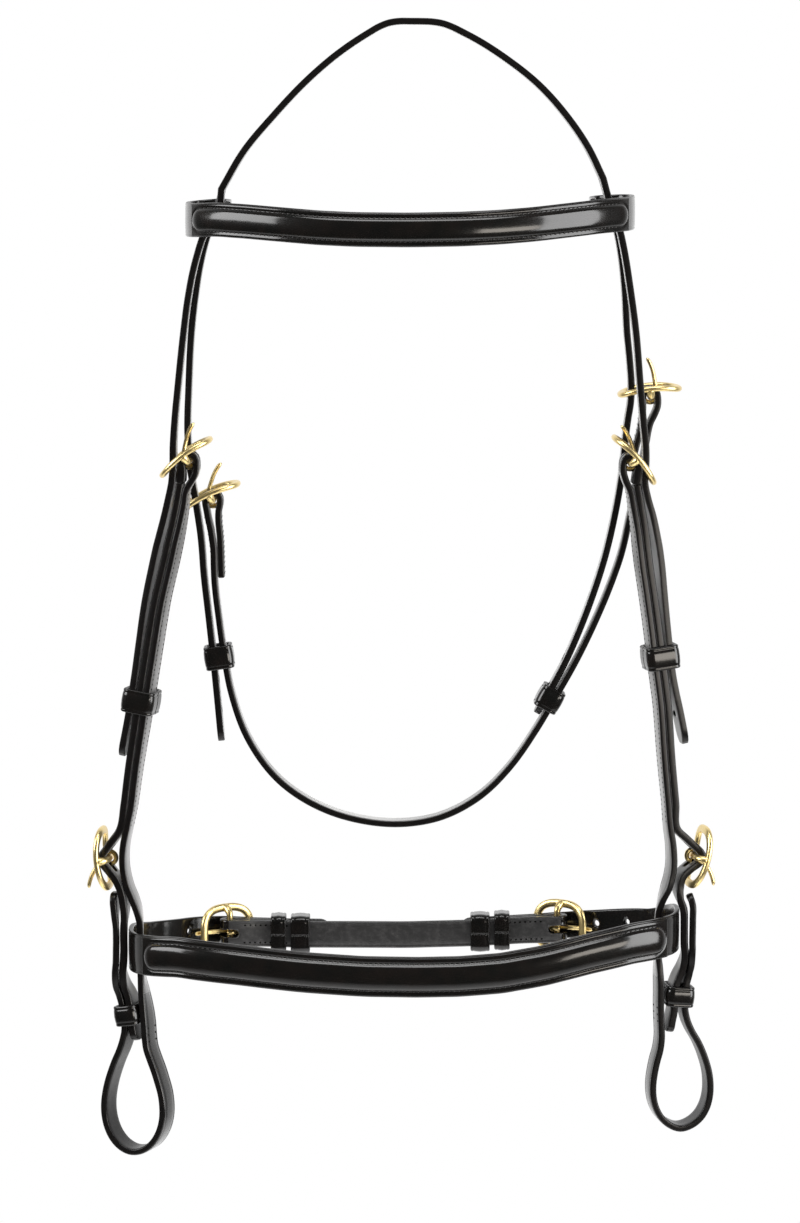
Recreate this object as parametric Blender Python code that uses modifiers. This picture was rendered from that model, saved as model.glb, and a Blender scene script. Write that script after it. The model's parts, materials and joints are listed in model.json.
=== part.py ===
"""In-hand bridle of plain leather straps with brass whole buckles, at rest as it hangs.

Sizes are in millimetres and turned into metres where meshes are made. The origin is the
middle of the flat underside of the crown, +Z is up and -Y is the horse's front. A side
of the head is laid out flat first, as q (distance out from the middle) and z, and then
turned a little about the vertical, as the hanging cheeks are.
"""

import math

import bpy
import numpy as np
from mathutils import Matrix, Vector

MM = 0.001

# Leather
STRAP_T = 3.4
LAYER_GAP = 0.35
PITCH = STRAP_T + LAYER_GAP
CHEEK_W = 13.0
THROAT_W = 11.0
CROWN_W = 28.0
SLIT_FRONT = -1.0
SLIT_REAR = CROWN_W / 2 - THROAT_W
HOLE_R = 1.7

# Whole buckles: a rounded oval frame with a dropped bar across the middle
FRAME_L = 33.0
FRAME_W = 29.0
RAIL_U = 4.2
RAIL_N = 3.0
BAR_R = 1.6
END_LIFT = 2.4
SIDE_LIFT = 4.5
BAR_GAP = 0.45
FOLD_R = BAR_R + BAR_GAP + STRAP_T / 2
TONGUE_R = 1.2
TONGUE_RING = BAR_R + BAR_GAP + TONGUE_R
SLOT_W = 4.4
TAIL_LENGTH = 10.6
TONGUE_L = 19.5
JAW_TONGUE_L = 19.0
CHEEK_BAR_RISE = 12.8
SLOT_BACK = -(TONGUE_RING + TONGUE_R + 0.4)

# Keepers
KEEPER_T = 1.8
KEEPER_PLAY = 0.9
KEEPER_L = 12.0
BIT_KEEPER_L = 10.5
JAW_KEEPER_L = 10.0
FIXED_KEEPER_L = 8.0

# Planes across the head
CHEEK_Y = -8.0
THROAT_Y = 15.0

# Noseband and browband
NOSE_BASE_T = 2.6
NOSE_W = 20.5
NOSE_BILLET_W = 14.0
NOSE_BUMP = 2.2
BROW_BASE_T = 2.4
BROW_W = 17.0
BROW_BUMP = 1.8
COVER_T = 1.8


def clear_scene():
    for old in list(bpy.data.objects):
        bpy.data.objects.remove(old, do_unlink=True)


clear_scene()
PARTS = bpy.data.collections.new("in_hand_bridle")
CUTTERS = bpy.data.collections.new("bridle_cutters")
for group in (PARTS, CUTTERS):
    bpy.context.scene.collection.children.link(group)
CUTTERS.hide_render = True


def material(name, colour, roughness, metallic):
    made = bpy.data.materials.new(name)
    made.use_nodes = True
    shader = made.node_tree.nodes["Principled BSDF"]
    shader.inputs["Base Color"].default_value = (*colour, 1.0)
    shader.inputs["Roughness"].default_value = roughness
    shader.inputs["Metallic"].default_value = metallic
    made.diffuse_color = (*colour, 1.0)
    return made


def leather_for(name):
    return material("leather " + name, (0.018, 0.016, 0.015), 0.38, 0.0)


def brass_for(name):
    return material("brass " + name, (0.78, 0.55, 0.22), 0.2, 1.0)


# Paths


def spline(points, step):
    """A smooth line through the points, as a cubic with one tangent at each point, with a sample about every step."""
    p = np.asarray(points, float)
    gaps = np.linalg.norm(np.diff(p, axis=0), axis=1)
    at = np.concatenate([[0.0], np.cumsum(gaps)])
    slope = np.diff(p, axis=0) / gaps[:, None]
    tangent = np.empty_like(p)
    tangent[0] = slope[0]
    tangent[-1] = slope[-1]
    before, after = gaps[:-1, None], gaps[1:, None]
    tangent[1:-1] = (slope[:-1] * after + slope[1:] * before) / (before + after)
    count = max(2, int(round(at[-1] / step)) + 1)
    s = np.linspace(0.0, at[-1], count)
    i = np.clip(np.searchsorted(at, s, side="right") - 1, 0, len(gaps) - 1)
    h = gaps[i][:, None]
    t = ((s - at[i]) / gaps[i])[:, None]
    return (
        (2 * t**3 - 3 * t**2 + 1) * p[i]
        + (t**3 - 2 * t**2 + t) * h * tangent[i]
        + (3 * t**2 - 2 * t**3) * p[i + 1]
        + (t**3 - t**2) * h * tangent[i + 1]
    )


def arc(centre, radius, start_deg, end_deg, steps):
    a = np.radians(np.linspace(start_deg, end_deg, steps + 1))
    return np.stack([centre[0] + radius * np.cos(a), centre[1] + radius * np.sin(a)], axis=1)


def joined(*runs):
    """The runs end to end, leaving out points that repeat."""
    path = np.concatenate([np.asarray(run, float) for run in runs])
    keep = [0]
    for i in range(1, len(path)):
        if np.linalg.norm(path[i] - path[keep[-1]]) > 0.35:
            keep.append(i)
    return path[keep]


def tangents(path):
    return unit(np.gradient(path, axis=0))


def unit(v):
    return v / np.linalg.norm(v, axis=-1, keepdims=True)


def offset_line(points, by):
    """A line beside a (q, z) line, by the given distance towards its left as it is walked."""
    p = np.asarray(points, float)
    t = tangents(p)
    return p + np.stack([-t[:, 1], t[:, 0]], axis=1) * by


class Side:
    """One side of the head: turns flat (q, z) points into space, with the turn about the vertical at each height."""

    def __init__(self, sign, middle, turn, plane):
        self.sign = sign
        self.middle = np.array(middle, float)
        self.turn = np.array(turn, float)
        self.plane = plane

    def _at(self, table, z):
        return np.interp(-np.asarray(z, float), -table[:, 0], table[:, 1])

    def axes(self, z):
        a = np.radians(self._at(self.turn, z))
        zero = np.zeros_like(a)
        out = np.stack([self.sign * np.cos(a), np.sin(a), zero], axis=-1)
        across = np.stack([-self.sign * np.sin(a), np.cos(a), zero], axis=-1)
        return out, across

    def place(self, flat):
        flat = np.asarray(flat, float)
        q, z = flat[..., 0], flat[..., 1]
        mid = self._at(self.middle, z)
        out, across = self.axes(z)
        zero = np.zeros_like(q)
        base = np.stack([self.sign * mid, zero + self.plane, z], axis=-1)
        return base + (q - mid)[..., None] * out, across

    def frame(self, point, direction):
        """A matrix at a flat point: x along the flat direction, z outward from it, y across."""
        where, _ = self.place(point)
        out, _ = self.axes(point[1])
        up = np.array([0.0, 0.0, 1.0])
        d = unit(np.asarray(direction, float))
        along = d[0] * out + d[1] * up
        outward = d[1] * out - d[0] * up
        if d[1] < d[0]:
            outward = -outward
        return basis(where, along, outward)


def basis(where, along, outward):
    across = np.cross(outward, along)
    m = Matrix.Identity(4)
    for row in range(3):
        m[row][0] = along[row]
        m[row][1] = across[row]
        m[row][2] = outward[row]
        m[row][3] = where[row] * MM
    return m


# Solids


def make_object(name, points, faces, look, where=None, group=None):
    """An object from millimetre points, with its origin at the matrix given."""
    mesh = bpy.data.meshes.new(name)
    local = np.asarray(points, float) * MM
    if where is not None:
        back = np.array(where.inverted())
        local = local @ back[:3, :3].T + back[:3, 3]
    mesh.from_pydata(local.tolist(), [], [list(face) for face in faces])
    mesh.update()
    made = bpy.data.objects.new(name, mesh)
    if look is not None:
        mesh.materials.append(look)
    if where is not None:
        made.matrix_world = where
    (group or PARTS).objects.link(made)
    return made


def smooth(made):
    for face in made.data.polygons:
        face.use_smooth = True


def thicken(made, thickness, edge=0.0):
    solid = made.modifiers.new("thickness", "SOLIDIFY")
    solid.thickness = thickness * MM
    solid.offset = 0.0
    solid.use_even_offset = True
    if edge:
        round_off = made.modifiers.new("edges", "BEVEL")
        round_off.width = edge * MM
        round_off.segments = 1
        round_off.limit_method = "ANGLE"
        round_off.angle_limit = math.radians(50)
    return made


def grid_faces(rows, columns, cyclic=False):
    r = np.arange(rows if cyclic else rows - 1)
    c = np.arange(columns - 1)
    a = (r[:, None] * columns + c).ravel()
    b = (((r + 1) % rows)[:, None] * columns + c).ravel()
    return np.stack([a, a + 1, b + 1, b], axis=1)


def widths(count, width, path, tip_start=0.0, tip_end=0.0):
    """The width at each station, drawn in to a rounded tip at either end."""
    run = np.concatenate([[0.0], np.cumsum(np.linalg.norm(np.diff(path, axis=0), axis=1))])
    w = np.broadcast_to(np.asarray(width, float), (count,)).copy()
    for tip, distance in ((tip_start, run), (tip_end, run[-1] - run)):
        if tip:
            near = np.clip(1 - distance / tip, 0, 1)
            w *= np.sqrt(1 - (0.9 * near) ** 2)
    return w


def strap(name, path, across, width, thickness=STRAP_T, tip_start=0.0, tip_end=0.0):
    """A strap: a flat ribbon along the path, thickened about its middle and rounded at its edges."""
    w = widths(len(path), width, path, tip_start, tip_end)
    half = across * w[:, None] / 2
    points = np.stack([path - half, path + half], axis=1).reshape(-1, 3)
    made = make_object(name, points, grid_faces(len(path), 2), leather_for(name))
    return thicken(made, thickness)


def loft(name, rings, look, where=None):
    """A closed solid through rings of points, capped at both ends."""
    n, m = rings.shape[:2]
    i = np.arange(n - 1)[:, None]
    j = np.arange(m)
    a = (i * m + j).ravel()
    b = (i * m + (j + 1) % m).ravel()
    faces = [list(f) for f in np.stack([a, b, b + m, a + m], axis=1)]
    faces.append(list(range(m))[::-1])
    faces.append(list(range((n - 1) * m, n * m)))
    made = make_object(name, rings.reshape(-1, 3), faces, look, where)
    return face_out(made)


def face_out(made):
    import bmesh

    bm = bmesh.new()
    bm.from_mesh(made.data)
    bmesh.ops.remove_doubles(bm, verts=bm.verts, dist=1e-6)
    bmesh.ops.recalc_face_normals(bm, faces=bm.faces)
    bm.to_mesh(made.data)
    bm.free()
    return made


def settle(made):
    """Applies the modifiers, so that a Boolean works on the finished mesh."""
    bpy.context.view_layer.update()
    graph = bpy.context.evaluated_depsgraph_get()
    mesh = bpy.data.meshes.new_from_object(made.evaluated_get(graph))
    made.modifiers.clear()
    made.data = mesh
    return made


def boolean(made, other, how):
    step = made.modifiers.new(how.lower(), "BOOLEAN")
    step.operation = how
    step.solver = "EXACT"
    step.object = other
    return made


def cutter(name, points, faces, where):
    made = make_object(name, points, faces, None, where, CUTTERS)
    made.display_type = "WIRE"
    made.hide_render = True
    return face_out(made)


def box_cutter(name, where, low, high):
    """A box from low to high, in the axes of the matrix and millimetres."""
    corners = np.array([[x, y, z] for x in (low[0], high[0]) for y in (low[1], high[1]) for z in (low[2], high[2])])
    world = np.array(where)
    points = corners @ world[:3, :3].T + world[:3, 3] / MM
    faces = [(0, 1, 3, 2), (4, 6, 7, 5), (0, 4, 5, 1), (2, 3, 7, 6), (0, 2, 6, 4), (1, 5, 7, 3)]
    return cutter(name, points, faces, where)


def hole_cutter(name, where, radius, reach, sides=8):
    """A round cutter through the z axis of the matrix."""
    a = np.linspace(0, 2 * math.pi, sides, endpoint=False)
    ring = np.stack([radius * np.cos(a), radius * np.sin(a), 0 * a], axis=1)
    rings = np.stack([ring - [0, 0, reach], ring + [0, 0, reach]]).reshape(-1, 3)
    world = np.array(where)
    points = rings @ world[:3, :3].T + world[:3, 3] / MM
    j = np.arange(sides)
    k = (j + 1) % sides
    faces = [list(f) for f in np.stack([j, k, k + sides, j + sides], axis=1)]
    faces += [list(range(sides))[::-1], list(range(sides, 2 * sides))]
    return cutter(name, points, faces, where)


def punch(made, path, across, distances, from_end=True):
    """Round holes through a strap, at distances measured along it from its end."""
    run = np.concatenate([[0.0], np.cumsum(np.linalg.norm(np.diff(path, axis=0), axis=1))])
    way = tangents(path)
    for number, distance in enumerate(distances):
        s = run[-1] - distance if from_end else distance
        centre = np.array([np.interp(s, run, path[:, k]) for k in range(3)])
        along = unit(np.array([np.interp(s, run, way[:, k]) for k in range(3)]))
        side = unit(np.array([np.interp(s, run, across[:, k]) for k in range(3)]))
        where = basis(centre, along, np.cross(along, side))
        boolean(made, hole_cutter(f"{made.name}_hole_{number + 1}", where, HOLE_R, STRAP_T), "DIFFERENCE")
    return made


# Buckles


def tube_rings(path, normals, half_u, half_n, sides=6, cyclic=False):
    """Rounded rings round a path: half_n along the normal and half_u across it."""
    way = unit(np.roll(path, -1, axis=0) - np.roll(path, 1, axis=0)) if cyclic else tangents(path)
    side = unit(np.cross(way, normals))
    up = np.cross(side, way)
    a = np.linspace(0, 2 * math.pi, sides, endpoint=False)
    c = np.sign(np.cos(a)) * np.abs(np.cos(a)) ** 0.8
    s = np.sign(np.sin(a)) * np.abs(np.sin(a)) ** 0.8
    hu = np.broadcast_to(half_u, (len(path),))[:, None, None]
    hn = np.broadcast_to(half_n, (len(path),))[:, None, None]
    return path[:, None] + side[:, None] * c[None, :, None] * hu + up[:, None] * s[None, :, None] * hn


def buckle_frame(name, where):
    """A rounded oval frame, its long sides swelled outward, joined to a straight bar dropped between them."""
    a = FRAME_L / 2 - RAIL_U / 2
    b = FRAME_W / 2 - RAIL_U / 2
    t = np.linspace(0, 2 * math.pi, 28, endpoint=False)
    power = 2 / 2.9
    u = a * np.sign(np.cos(t)) * np.abs(np.cos(t)) ** power
    w = b * np.sign(np.sin(t)) * np.abs(np.sin(t)) ** power
    n = END_LIFT + (SIDE_LIFT - END_LIFT) * (1 - (u / a) ** 2)
    ring = np.stack([u, w, n], axis=1)
    rings = tube_rings(ring, np.array([[0.0, 0.0, 1.0]]), RAIL_U / 2, RAIL_N / 2, cyclic=True)
    m = rings.shape[1]
    i = np.arange(len(rings))[:, None]
    j = np.arange(m)
    i2 = (i + 1) % len(rings)
    faces = np.stack(
        [(i * m + j).ravel(), (i * m + (j + 1) % m).ravel(), (i2 * m + (j + 1) % m).ravel(), (i2 * m + j).ravel()],
        axis=1,
    )
    world = np.array(where)
    to_world = lambda p: np.asarray(p) @ world[:3, :3].T + world[:3, 3] / MM
    made = face_out(make_object(name, to_world(rings.reshape(-1, 3)), faces, brass_for(name), where))
    half = np.array([[b, 4.2], [b - 0.6, 2.6], [b - 1.9, 0.9], [b - 3.6, 0.0], [b - 5.2, 0.0]])
    line = np.concatenate([half, half[::-1] * [-1, 1]])
    bar = np.stack([0 * line[:, 0], line[:, 0], line[:, 1]], axis=1)
    bar_rings = tube_rings(bar, np.array([[1.0, 0.0, 0.0]]), BAR_R, BAR_R)
    rod = loft(name + "_bar", to_world(bar_rings), None, where)
    PARTS.objects.unlink(rod)
    CUTTERS.objects.link(rod)
    rod.hide_render = True
    rod.display_type = "WIRE"
    boolean(made, rod, "UNION")
    smooth(made)
    return made


def buckle_tongue(name, where, length, tip_drop=1.0):
    """A tongue: wire turned round the bar, then a shank towards +x with its tip bent down."""
    root = arc((0, 0), TONGUE_RING, -50, -270, 12)
    shank = spline(
        [
            (0.0, TONGUE_RING),
            (length * 0.35, TONGUE_RING + 0.2),
            (length * 0.75, TONGUE_RING - 0.4),
            (length - 1.2, tip_drop + 0.7),
            (length, tip_drop),
        ],
        2.2,
    )
    flat = joined(root, shank)
    path = np.stack([flat[:, 0], 0 * flat[:, 0], flat[:, 1]], axis=1)
    thick = np.full(len(path), TONGUE_R)
    thick[-1] = 0.55
    thick[-2] = 0.95
    rings = tube_rings(path, np.array([[0.0, 1.0, 0.0]]), thick, thick)
    world = np.array(where)
    made = loft(name, rings @ world[:3, :3].T + world[:3, 3] / MM, brass_for(name), where)
    smooth(made)
    return made


def slot_chape(made, where):
    """Cuts the tongue's slot through the turned end, on the +x side of the bar."""
    reach = FOLD_R + STRAP_T
    low = (SLOT_BACK, -SLOT_W / 2, -reach)
    return boolean(made, box_cutter(made.name + "_slot", where, low, (reach, SLOT_W / 2, reach)), "DIFFERENCE")


# Keepers


def keeper(name, where, thick, wide, length, play=KEEPER_PLAY):
    """A closed band round a stack: thick along z of the matrix, wide along y, length along x."""
    h = thick / 2 + play + KEEPER_T / 2
    v = wide / 2 + play + KEEPER_T / 2
    r = 2.0
    corners = [(v - r, h - r, 0), (-(v - r), h - r, 90), (-(v - r), -(h - r), 180), (v - r, -(h - r), 270)]
    loop = np.concatenate([arc((cx, cz), r, start, start + 90, 2) for cx, cz, start in corners])
    ends = np.array([-length / 2, length / 2])
    points = np.stack(
        [np.broadcast_to(ends, (len(loop), 2)), np.repeat(loop[:, :1], 2, 1), np.repeat(loop[:, 1:], 2, 1)], axis=2
    ).reshape(-1, 3)
    world = np.array(where)
    world_points = points @ world[:3, :3].T + world[:3, 3] / MM
    made = make_object(name, world_points, grid_faces(len(loop), 2, cyclic=True), leather_for(name), where)
    return thicken(made, KEEPER_T)


# The two sides

LEFT = {
    "sign": -1,
    "label": "left",
    "middle": [(0, 0), (-90, 96), (-150, 112), (-210, 114), (-270, 123), (-340, 136), (-405, 143), (-440, 142), (-480, 139), (-520, 138.6), (-600, 138.6)],
    "turn": [(0, 0), (-200, 0), (-230, 2), (-262, 15), (-335, 15), (-395, 8), (-430, 8), (-446, 8), (-458, -4), (-481, -4), (-494, 14), (-506, 22), (-600, 22)],
    "billet": [(93.5, -87.3), (102.3, -104.9), (106.6, -118.4), (110.5, -137.5), (112.5, -152.6), (115.5, -179.8), (117.6, -201.5), (118.2, -212), (118.5, -226), (121.5, -244), (127.0, -268), (131.6, -289.9), (135.0, -313), (137.6, -331.4), (140.7, -349.3), (145.0, -369.9)],
    "cheek_bar_beside": -2.4,
    "cheek_lean": (-0.8, 0.6),
    "cheek_tongue": (-0.19, 0.98),
    "centre": [(112.8, -232), (116.0, -251), (119.8, -269), (124.7, -289.9), (128.3, -311), (131.6, -331.4), (135.0, -352.4), (138.6, -373.5), (141.6, -394.6)],
    "main": [(142.3, -407), (144.4, -418), (144.5, -427), (142.5, -437), (139.0, -446), (137.1, -453), (136.9, -462), (136.9, -477), (135.9, -486), (134.0, -497), (132.8, -504), (132.0, -511), (131.4, -519), (126.4, -533), (122.4, -547), (122.3, -557), (125.2, -566), (130.8, -572.5), (139.0, -575.5), (147.5, -572.3), (153.0, -564.5), (155.1, -555), (154.4, -546), (150.3, -532), (145.2, -520), (143.2, -512), (143.95, -504.5), (144.95, -498.2), (147.0, -492.6), (149.15, -487.2), (149.2, -474), (149.1, -460), (149.6, -450.5), (149.7, -440.6)],
    "bit_bar_out": 7.65,
    "bit_bar_z": -423.0,
    "bit_lean": (0.11, 0.994),
    "bit_tongue": (0.52, -0.85),
    "keeper_z": -341.6,
    "bit_keeper_z": -504.0,
    "bit_keeper_play": 0.85,
    "facing_leave": -409.0,
    "facing_low": [(146.6, -437), (144.6, -445), (144.4, -451), (145.0, -458), (145.1, -472), (145.1, -486.8), (142.45, -492.8), (140.9, -498), (139.95, -504), (139.05, -509.5), (138.3, -514), (137.5, -517.5)],
    "throat_billet": [(96.0, -92), (101.2, -106), (104.8, -120), (107.6, -137), (109.6, -154.3), (111.2, -181.9), (111.8, -210), (110.2, -228), (107.5, -245), (105.4, -260), (103.9, -280), (101.7, -300), (99.6, -320), (97.3, -344), (95.4, -365.5)],
    "throat_bar_beside": 0.3,
    "throat_bar_rise": 24.7,
    "throat_lean": (-0.91, 0.415),
    "throat_tongue": (-0.28, 0.96),
}

RIGHT = {
    "sign": 1,
    "label": "right",
    "middle": [(0, 0), (-90, 100), (-150, 114), (-210, 116), (-270, 124), (-340, 132), (-405, 135), (-440, 136), (-480, 136), (-520, 139.0), (-600, 139.0)],
    "turn": [(0, 0), (-200, 0), (-230, 2), (-262, 12), (-335, 12), (-395, 8), (-425, 12), (-438, 12), (-448, -4), (-471, -4), (-482, 10), (-600, 10)],
    "billet": [(101.0, -86), (107.4, -104.4), (109.6, -115), (112.4, -132.4), (115.2, -152.6), (117.6, -179.8), (119.6, -201.5), (120.6, -212), (120.6, -221), (120.0, -230), (123.6, -246), (127.6, -269), (129.6, -289.4), (131.7, -309.9), (134.3, -330.4), (138.3, -348.3), (141.5, -363.7)],
    "cheek_bar_beside": -1.2,
    "cheek_lean": (-0.66, 0.75),
    "cheek_tongue": (-0.30, 0.95),
    "centre": [(114.2, -233), (117.0, -248.7), (119.4, -269), (122.5, -289.4), (125.2, -309), (127.2, -325), (129.4, -340.6), (132.0, -371.4), (134.3, -394.0)],
    "main": [(133.4, -406), (135.0, -418), (134.9, -429), (132.6, -438), (129.6, -447), (128.6, -456), (128.6, -466), (128.6, -478), (128.9, -490), (128.9, -501), (129.3, -511), (129.2, -519), (127.2, -527), (125.6, -535), (125.0, -543.2), (126.6, -551.6), (131.6, -559.3), (139.8, -563.1), (148.8, -559.3), (153.8, -551.6), (155.2, -543.2), (154.6, -535), (152.4, -527), (149.0, -518.8), (144.9, -511.6), (142.1, -504.0), (141.8, -493), (142.6, -486.5), (144.6, -480.5), (146.0, -474.5), (146.3, -463), (146.4, -452), (146.0, -445.5), (144.3, -441.6)],
    "bit_bar_out": 11.54,
    "bit_bar_z": -422.0,
    "bit_lean": (0.26, 0.966),
    "bit_tongue": (0.52, -0.85),
    "keeper_z": -319.0,
    "bit_keeper_z": -494.0,
    "bit_keeper_play": 0.9,
    "facing_leave": -408.0,
    "facing_low": [(139.6, -433), (138.6, -439), (139.6, -444), (141.6, -449), (142.0, -455), (142.0, -464), (141.9, -476), (139.8, -481.5), (137.2, -487), (136.1, -493), (136.1, -500), (135.0, -506), (133.9, -513)],
    "throat_billet": [(103.0, -92), (106.4, -104), (108.6, -116), (110.6, -134), (111.8, -154.3), (113.6, -172), (114.3, -187), (112.0, -204), (109.6, -228.5), (105.6, -251.6), (100.7, -272.2), (96.0, -287.2), (89.0, -306.3), (80.9, -325), (70.9, -343.6), (66.6, -351.2)],
    "throat_bar_beside": 2.6,
    "throat_bar_rise": 27.0,
    "throat_lean": (-0.994, -0.108),
    "throat_tongue": (-0.15, 0.99),
}

# The throatlatch hangs in one plane, as (x, z) from the left buckle to the right one.
THROAT = [(-99.0, -266), (-98.4, -284), (-96.6, -300), (-94.2, -318), (-90.0, -341), (-81.5, -364.5), (-65.4, -386.3), (-44.9, -399.9), (-24.2, -406.6), (-3.6, -408.5), (17.0, -405.1), (37.6, -394.1), (53.6, -378.0), (65.4, -361.0), (76.2, -342.6), (87.4, -322.4), (96.6, -303), (104.4, -284), (109.8, -268), (113.8, -250), (118.3, -230), (121.4, -215)]


def at_height(line, z):
    line = np.asarray(line)
    order = np.argsort(line[:, 1])
    return np.interp(z, line[order, 1], line[order, 0])


def place_bars(data):
    """Each buckle's bar sits beside the strap that is turned round it."""
    top_q, top_z = data["centre"][0]
    data["cheek_bar"] = (top_q + data["cheek_bar_beside"], top_z + CHEEK_BAR_RISE)
    upper = data["main"][:6]
    data["bit_bar"] = (at_height(upper, data["bit_bar_z"]) + data["bit_bar_out"], data["bit_bar_z"])
    end_x, end_z = THROAT[0] if data["sign"] < 0 else THROAT[-1]
    data["throat_bar"] = (abs(end_x) + data["throat_bar_beside"], end_z + data["throat_bar_rise"])


SIDES = {}
for data in (LEFT, RIGHT):
    place_bars(data)
    SIDES[data["label"]] = Side(data["sign"], data["middle"], data["turn"], CHEEK_Y)
THROAT_SIDES = {}
for data in (LEFT, RIGHT):
    THROAT_SIDES[data["label"]] = Side(data["sign"], [(0, 100), (-600, 100)], [(0, 0), (-600, 0)], THROAT_Y)


# Headpiece: crown, then a cheek billet and a throat billet on each side

CROWN = [(-93.3, -82), (-82.1, -63.1), (-67.2, -45.4), (-50.1, -27.5), (-35.0, -14.6), (-20.5, -4.8), (-12.5, -0.3), (-6.0, 1.7), (6.0, 1.7), (16.4, 0.9), (31.4, -5.6), (49.9, -17.1), (65.9, -29.8), (80.0, -45.4), (91.1, -61.6), (98.4, -76.6)]


def crown_line():
    line = spline(CROWN, 5.5)
    flat = np.abs(line[:, 0]) < 6.0
    line[flat, 1] = STRAP_T / 2
    return line


def leg_points(side, flat, plane_from, plane_to, z_from, z_to, turned):
    """A leg of the headpiece in space, easing from one plane across the head to another."""
    placed, across = side.place(flat)
    ease = np.clip((flat[:, 1] - z_from) / (z_to - z_from), 0, 1)
    ease = ease * ease * (3 - 2 * ease)
    placed[:, 1] += plane_from + (plane_to - plane_from) * ease - side.plane
    return placed, across


def build_headpiece():
    crown = crown_line()
    columns = [-CROWN_W / 2, SLIT_FRONT, SLIT_REAR, CROWN_W / 2]
    points = [[x, y, z] for x, z in crown for y in columns]
    faces = [list(f) for f in grid_faces(len(crown), 4)]
    holes = []
    for data in (LEFT, RIGHT):
        side = SIDES[data["label"]]
        row = 0 if data["sign"] < 0 else len(crown) - 1
        end = crown[row]
        for kind in ("billet", "throat_billet"):
            front = kind == "billet"
            at = [row * 4 + (0 if front else 2), row * 4 + (1 if front else 3)]
            lane = (columns[0] + columns[1]) / 2 if front else (columns[2] + columns[3]) / 2
            width = CHEEK_W if front else THROAT_W
            flat = spline([(abs(end[0]), end[1])] + data[kind], 9.0)[1:]
            chosen = side if front else THROAT_SIDES[data["label"]]
            target = CHEEK_Y if front else THROAT_Y
            placed, across = leg_points(chosen, flat, lane, target, end[1], -185.0, front)
            w = widths(len(placed), width, placed, tip_end=7.0)
            start = len(points)
            half = across * w[:, None] / 2
            rows = np.stack([placed - half, placed + half], axis=1).reshape(-1, 3)
            points += rows.tolist()
            first = [start, start + 1]
            faces.append([at[0], at[1], first[1], first[0]])
            faces += [list(f + start) for f in grid_faces(len(placed), 2)]
            holes.append((placed, across))
    name = "headpiece"
    made = make_object(name, points, faces, leather_for(name))
    face_out(made)
    settle(thicken(made, STRAP_T))
    for number, (path, across) in enumerate(holes):
        spots = (16.0, 34.0) if number % 2 == 0 else (16.0, 32.0)
        run = path
        for k, distance in enumerate(spots):
            length = np.concatenate([[0.0], np.cumsum(np.linalg.norm(np.diff(run, axis=0), axis=1))])
            s = length[-1] - distance
            centre = np.array([np.interp(s, length, run[:, i]) for i in range(3)])
            way = tangents(run)
            along = unit(np.array([np.interp(s, length, way[:, i]) for i in range(3)]))
            across_here = unit(np.array([np.interp(s, length, across[:, i]) for i in range(3)]))
            where = basis(centre, along, np.cross(along, across_here))
            boolean(made, hole_cutter(f"{name}_hole_{number}_{k}", where, HOLE_R, STRAP_T), "DIFFERENCE")
    smooth(made)
    return made


# Cheekpieces


def cheek_lines(data):
    """The flat lines of the main strap and of the facing stitched to its outer side."""
    bar = np.array(data["cheek_bar"])
    centre = spline(data["centre"], 10.0)
    # Walking down, the outer side is on the left for these (q, z) lines.
    inner = offset_line(centre, -PITCH / 2)
    outer = offset_line(centre, PITCH / 2)
    top_in = spline([bar + [-FOLD_R, 0], bar + [-FOLD_R + 0.1, -5.0], inner[0]], 4.0)
    tail_end = (outer[0, 0] - 0.1, bar[1] - TAIL_LENGTH)
    tail = spline([tail_end, bar + [FOLD_R - 0.1, -4.5], bar + [FOLD_R, 0]], 4.0)
    fold = arc(bar, FOLD_R, 0, 180, 10)
    lower = spline(np.concatenate([inner[-2:], data["main"]]), 6.0)
    main = joined(tail, fold, top_in, inner[1:-2], lower)
    return main, outer, lower


def facing_line(data, outer, lower):
    """The facing: beside the main strap, round the bar of the bit buckle, and down outside the noseband."""
    bar = np.array(data["bit_bar"])
    start = np.array([outer[0, 0], data["cheek_bar"][1] - TAIL_LENGTH - 0.8])
    beside = offset_line(lower, PITCH)
    leave_z = data["facing_leave"]
    leave = np.array([at_height(beside[:8], leave_z), leave_z])
    body = outer[outer[:, 1] > leave_z + 4]
    body = body[body[:, 1] < start[1] - 4]
    up_leg, up_angle = tangent_to(bar, leave, +1)
    low = np.array(data["facing_low"])
    down_leg, down_angle = tangent_to(bar, low[0], -1)
    turn = arc(bar, FOLD_R, up_angle, down_angle, 8)
    first = np.concatenate([[start], body, [leave]])
    into = spline([leave, leave * 0.5 + up_leg * 0.5, up_leg], 5.0)
    out = spline(np.concatenate([[down_leg], low]), 6.0)
    return joined(first, into, turn, out)


def tangent_to(centre, point, sign):
    """Where a line from the point meets the fold round the bar on its outer side, and that spot's angle."""
    d = np.asarray(point) - centre
    reach = math.hypot(*d)
    angle = math.atan2(d[1], d[0])
    swing = math.acos(FOLD_R / reach)
    spot = angle - sign * swing
    return centre + FOLD_R * np.array([math.cos(spot), math.sin(spot)]), math.degrees(spot)


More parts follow.
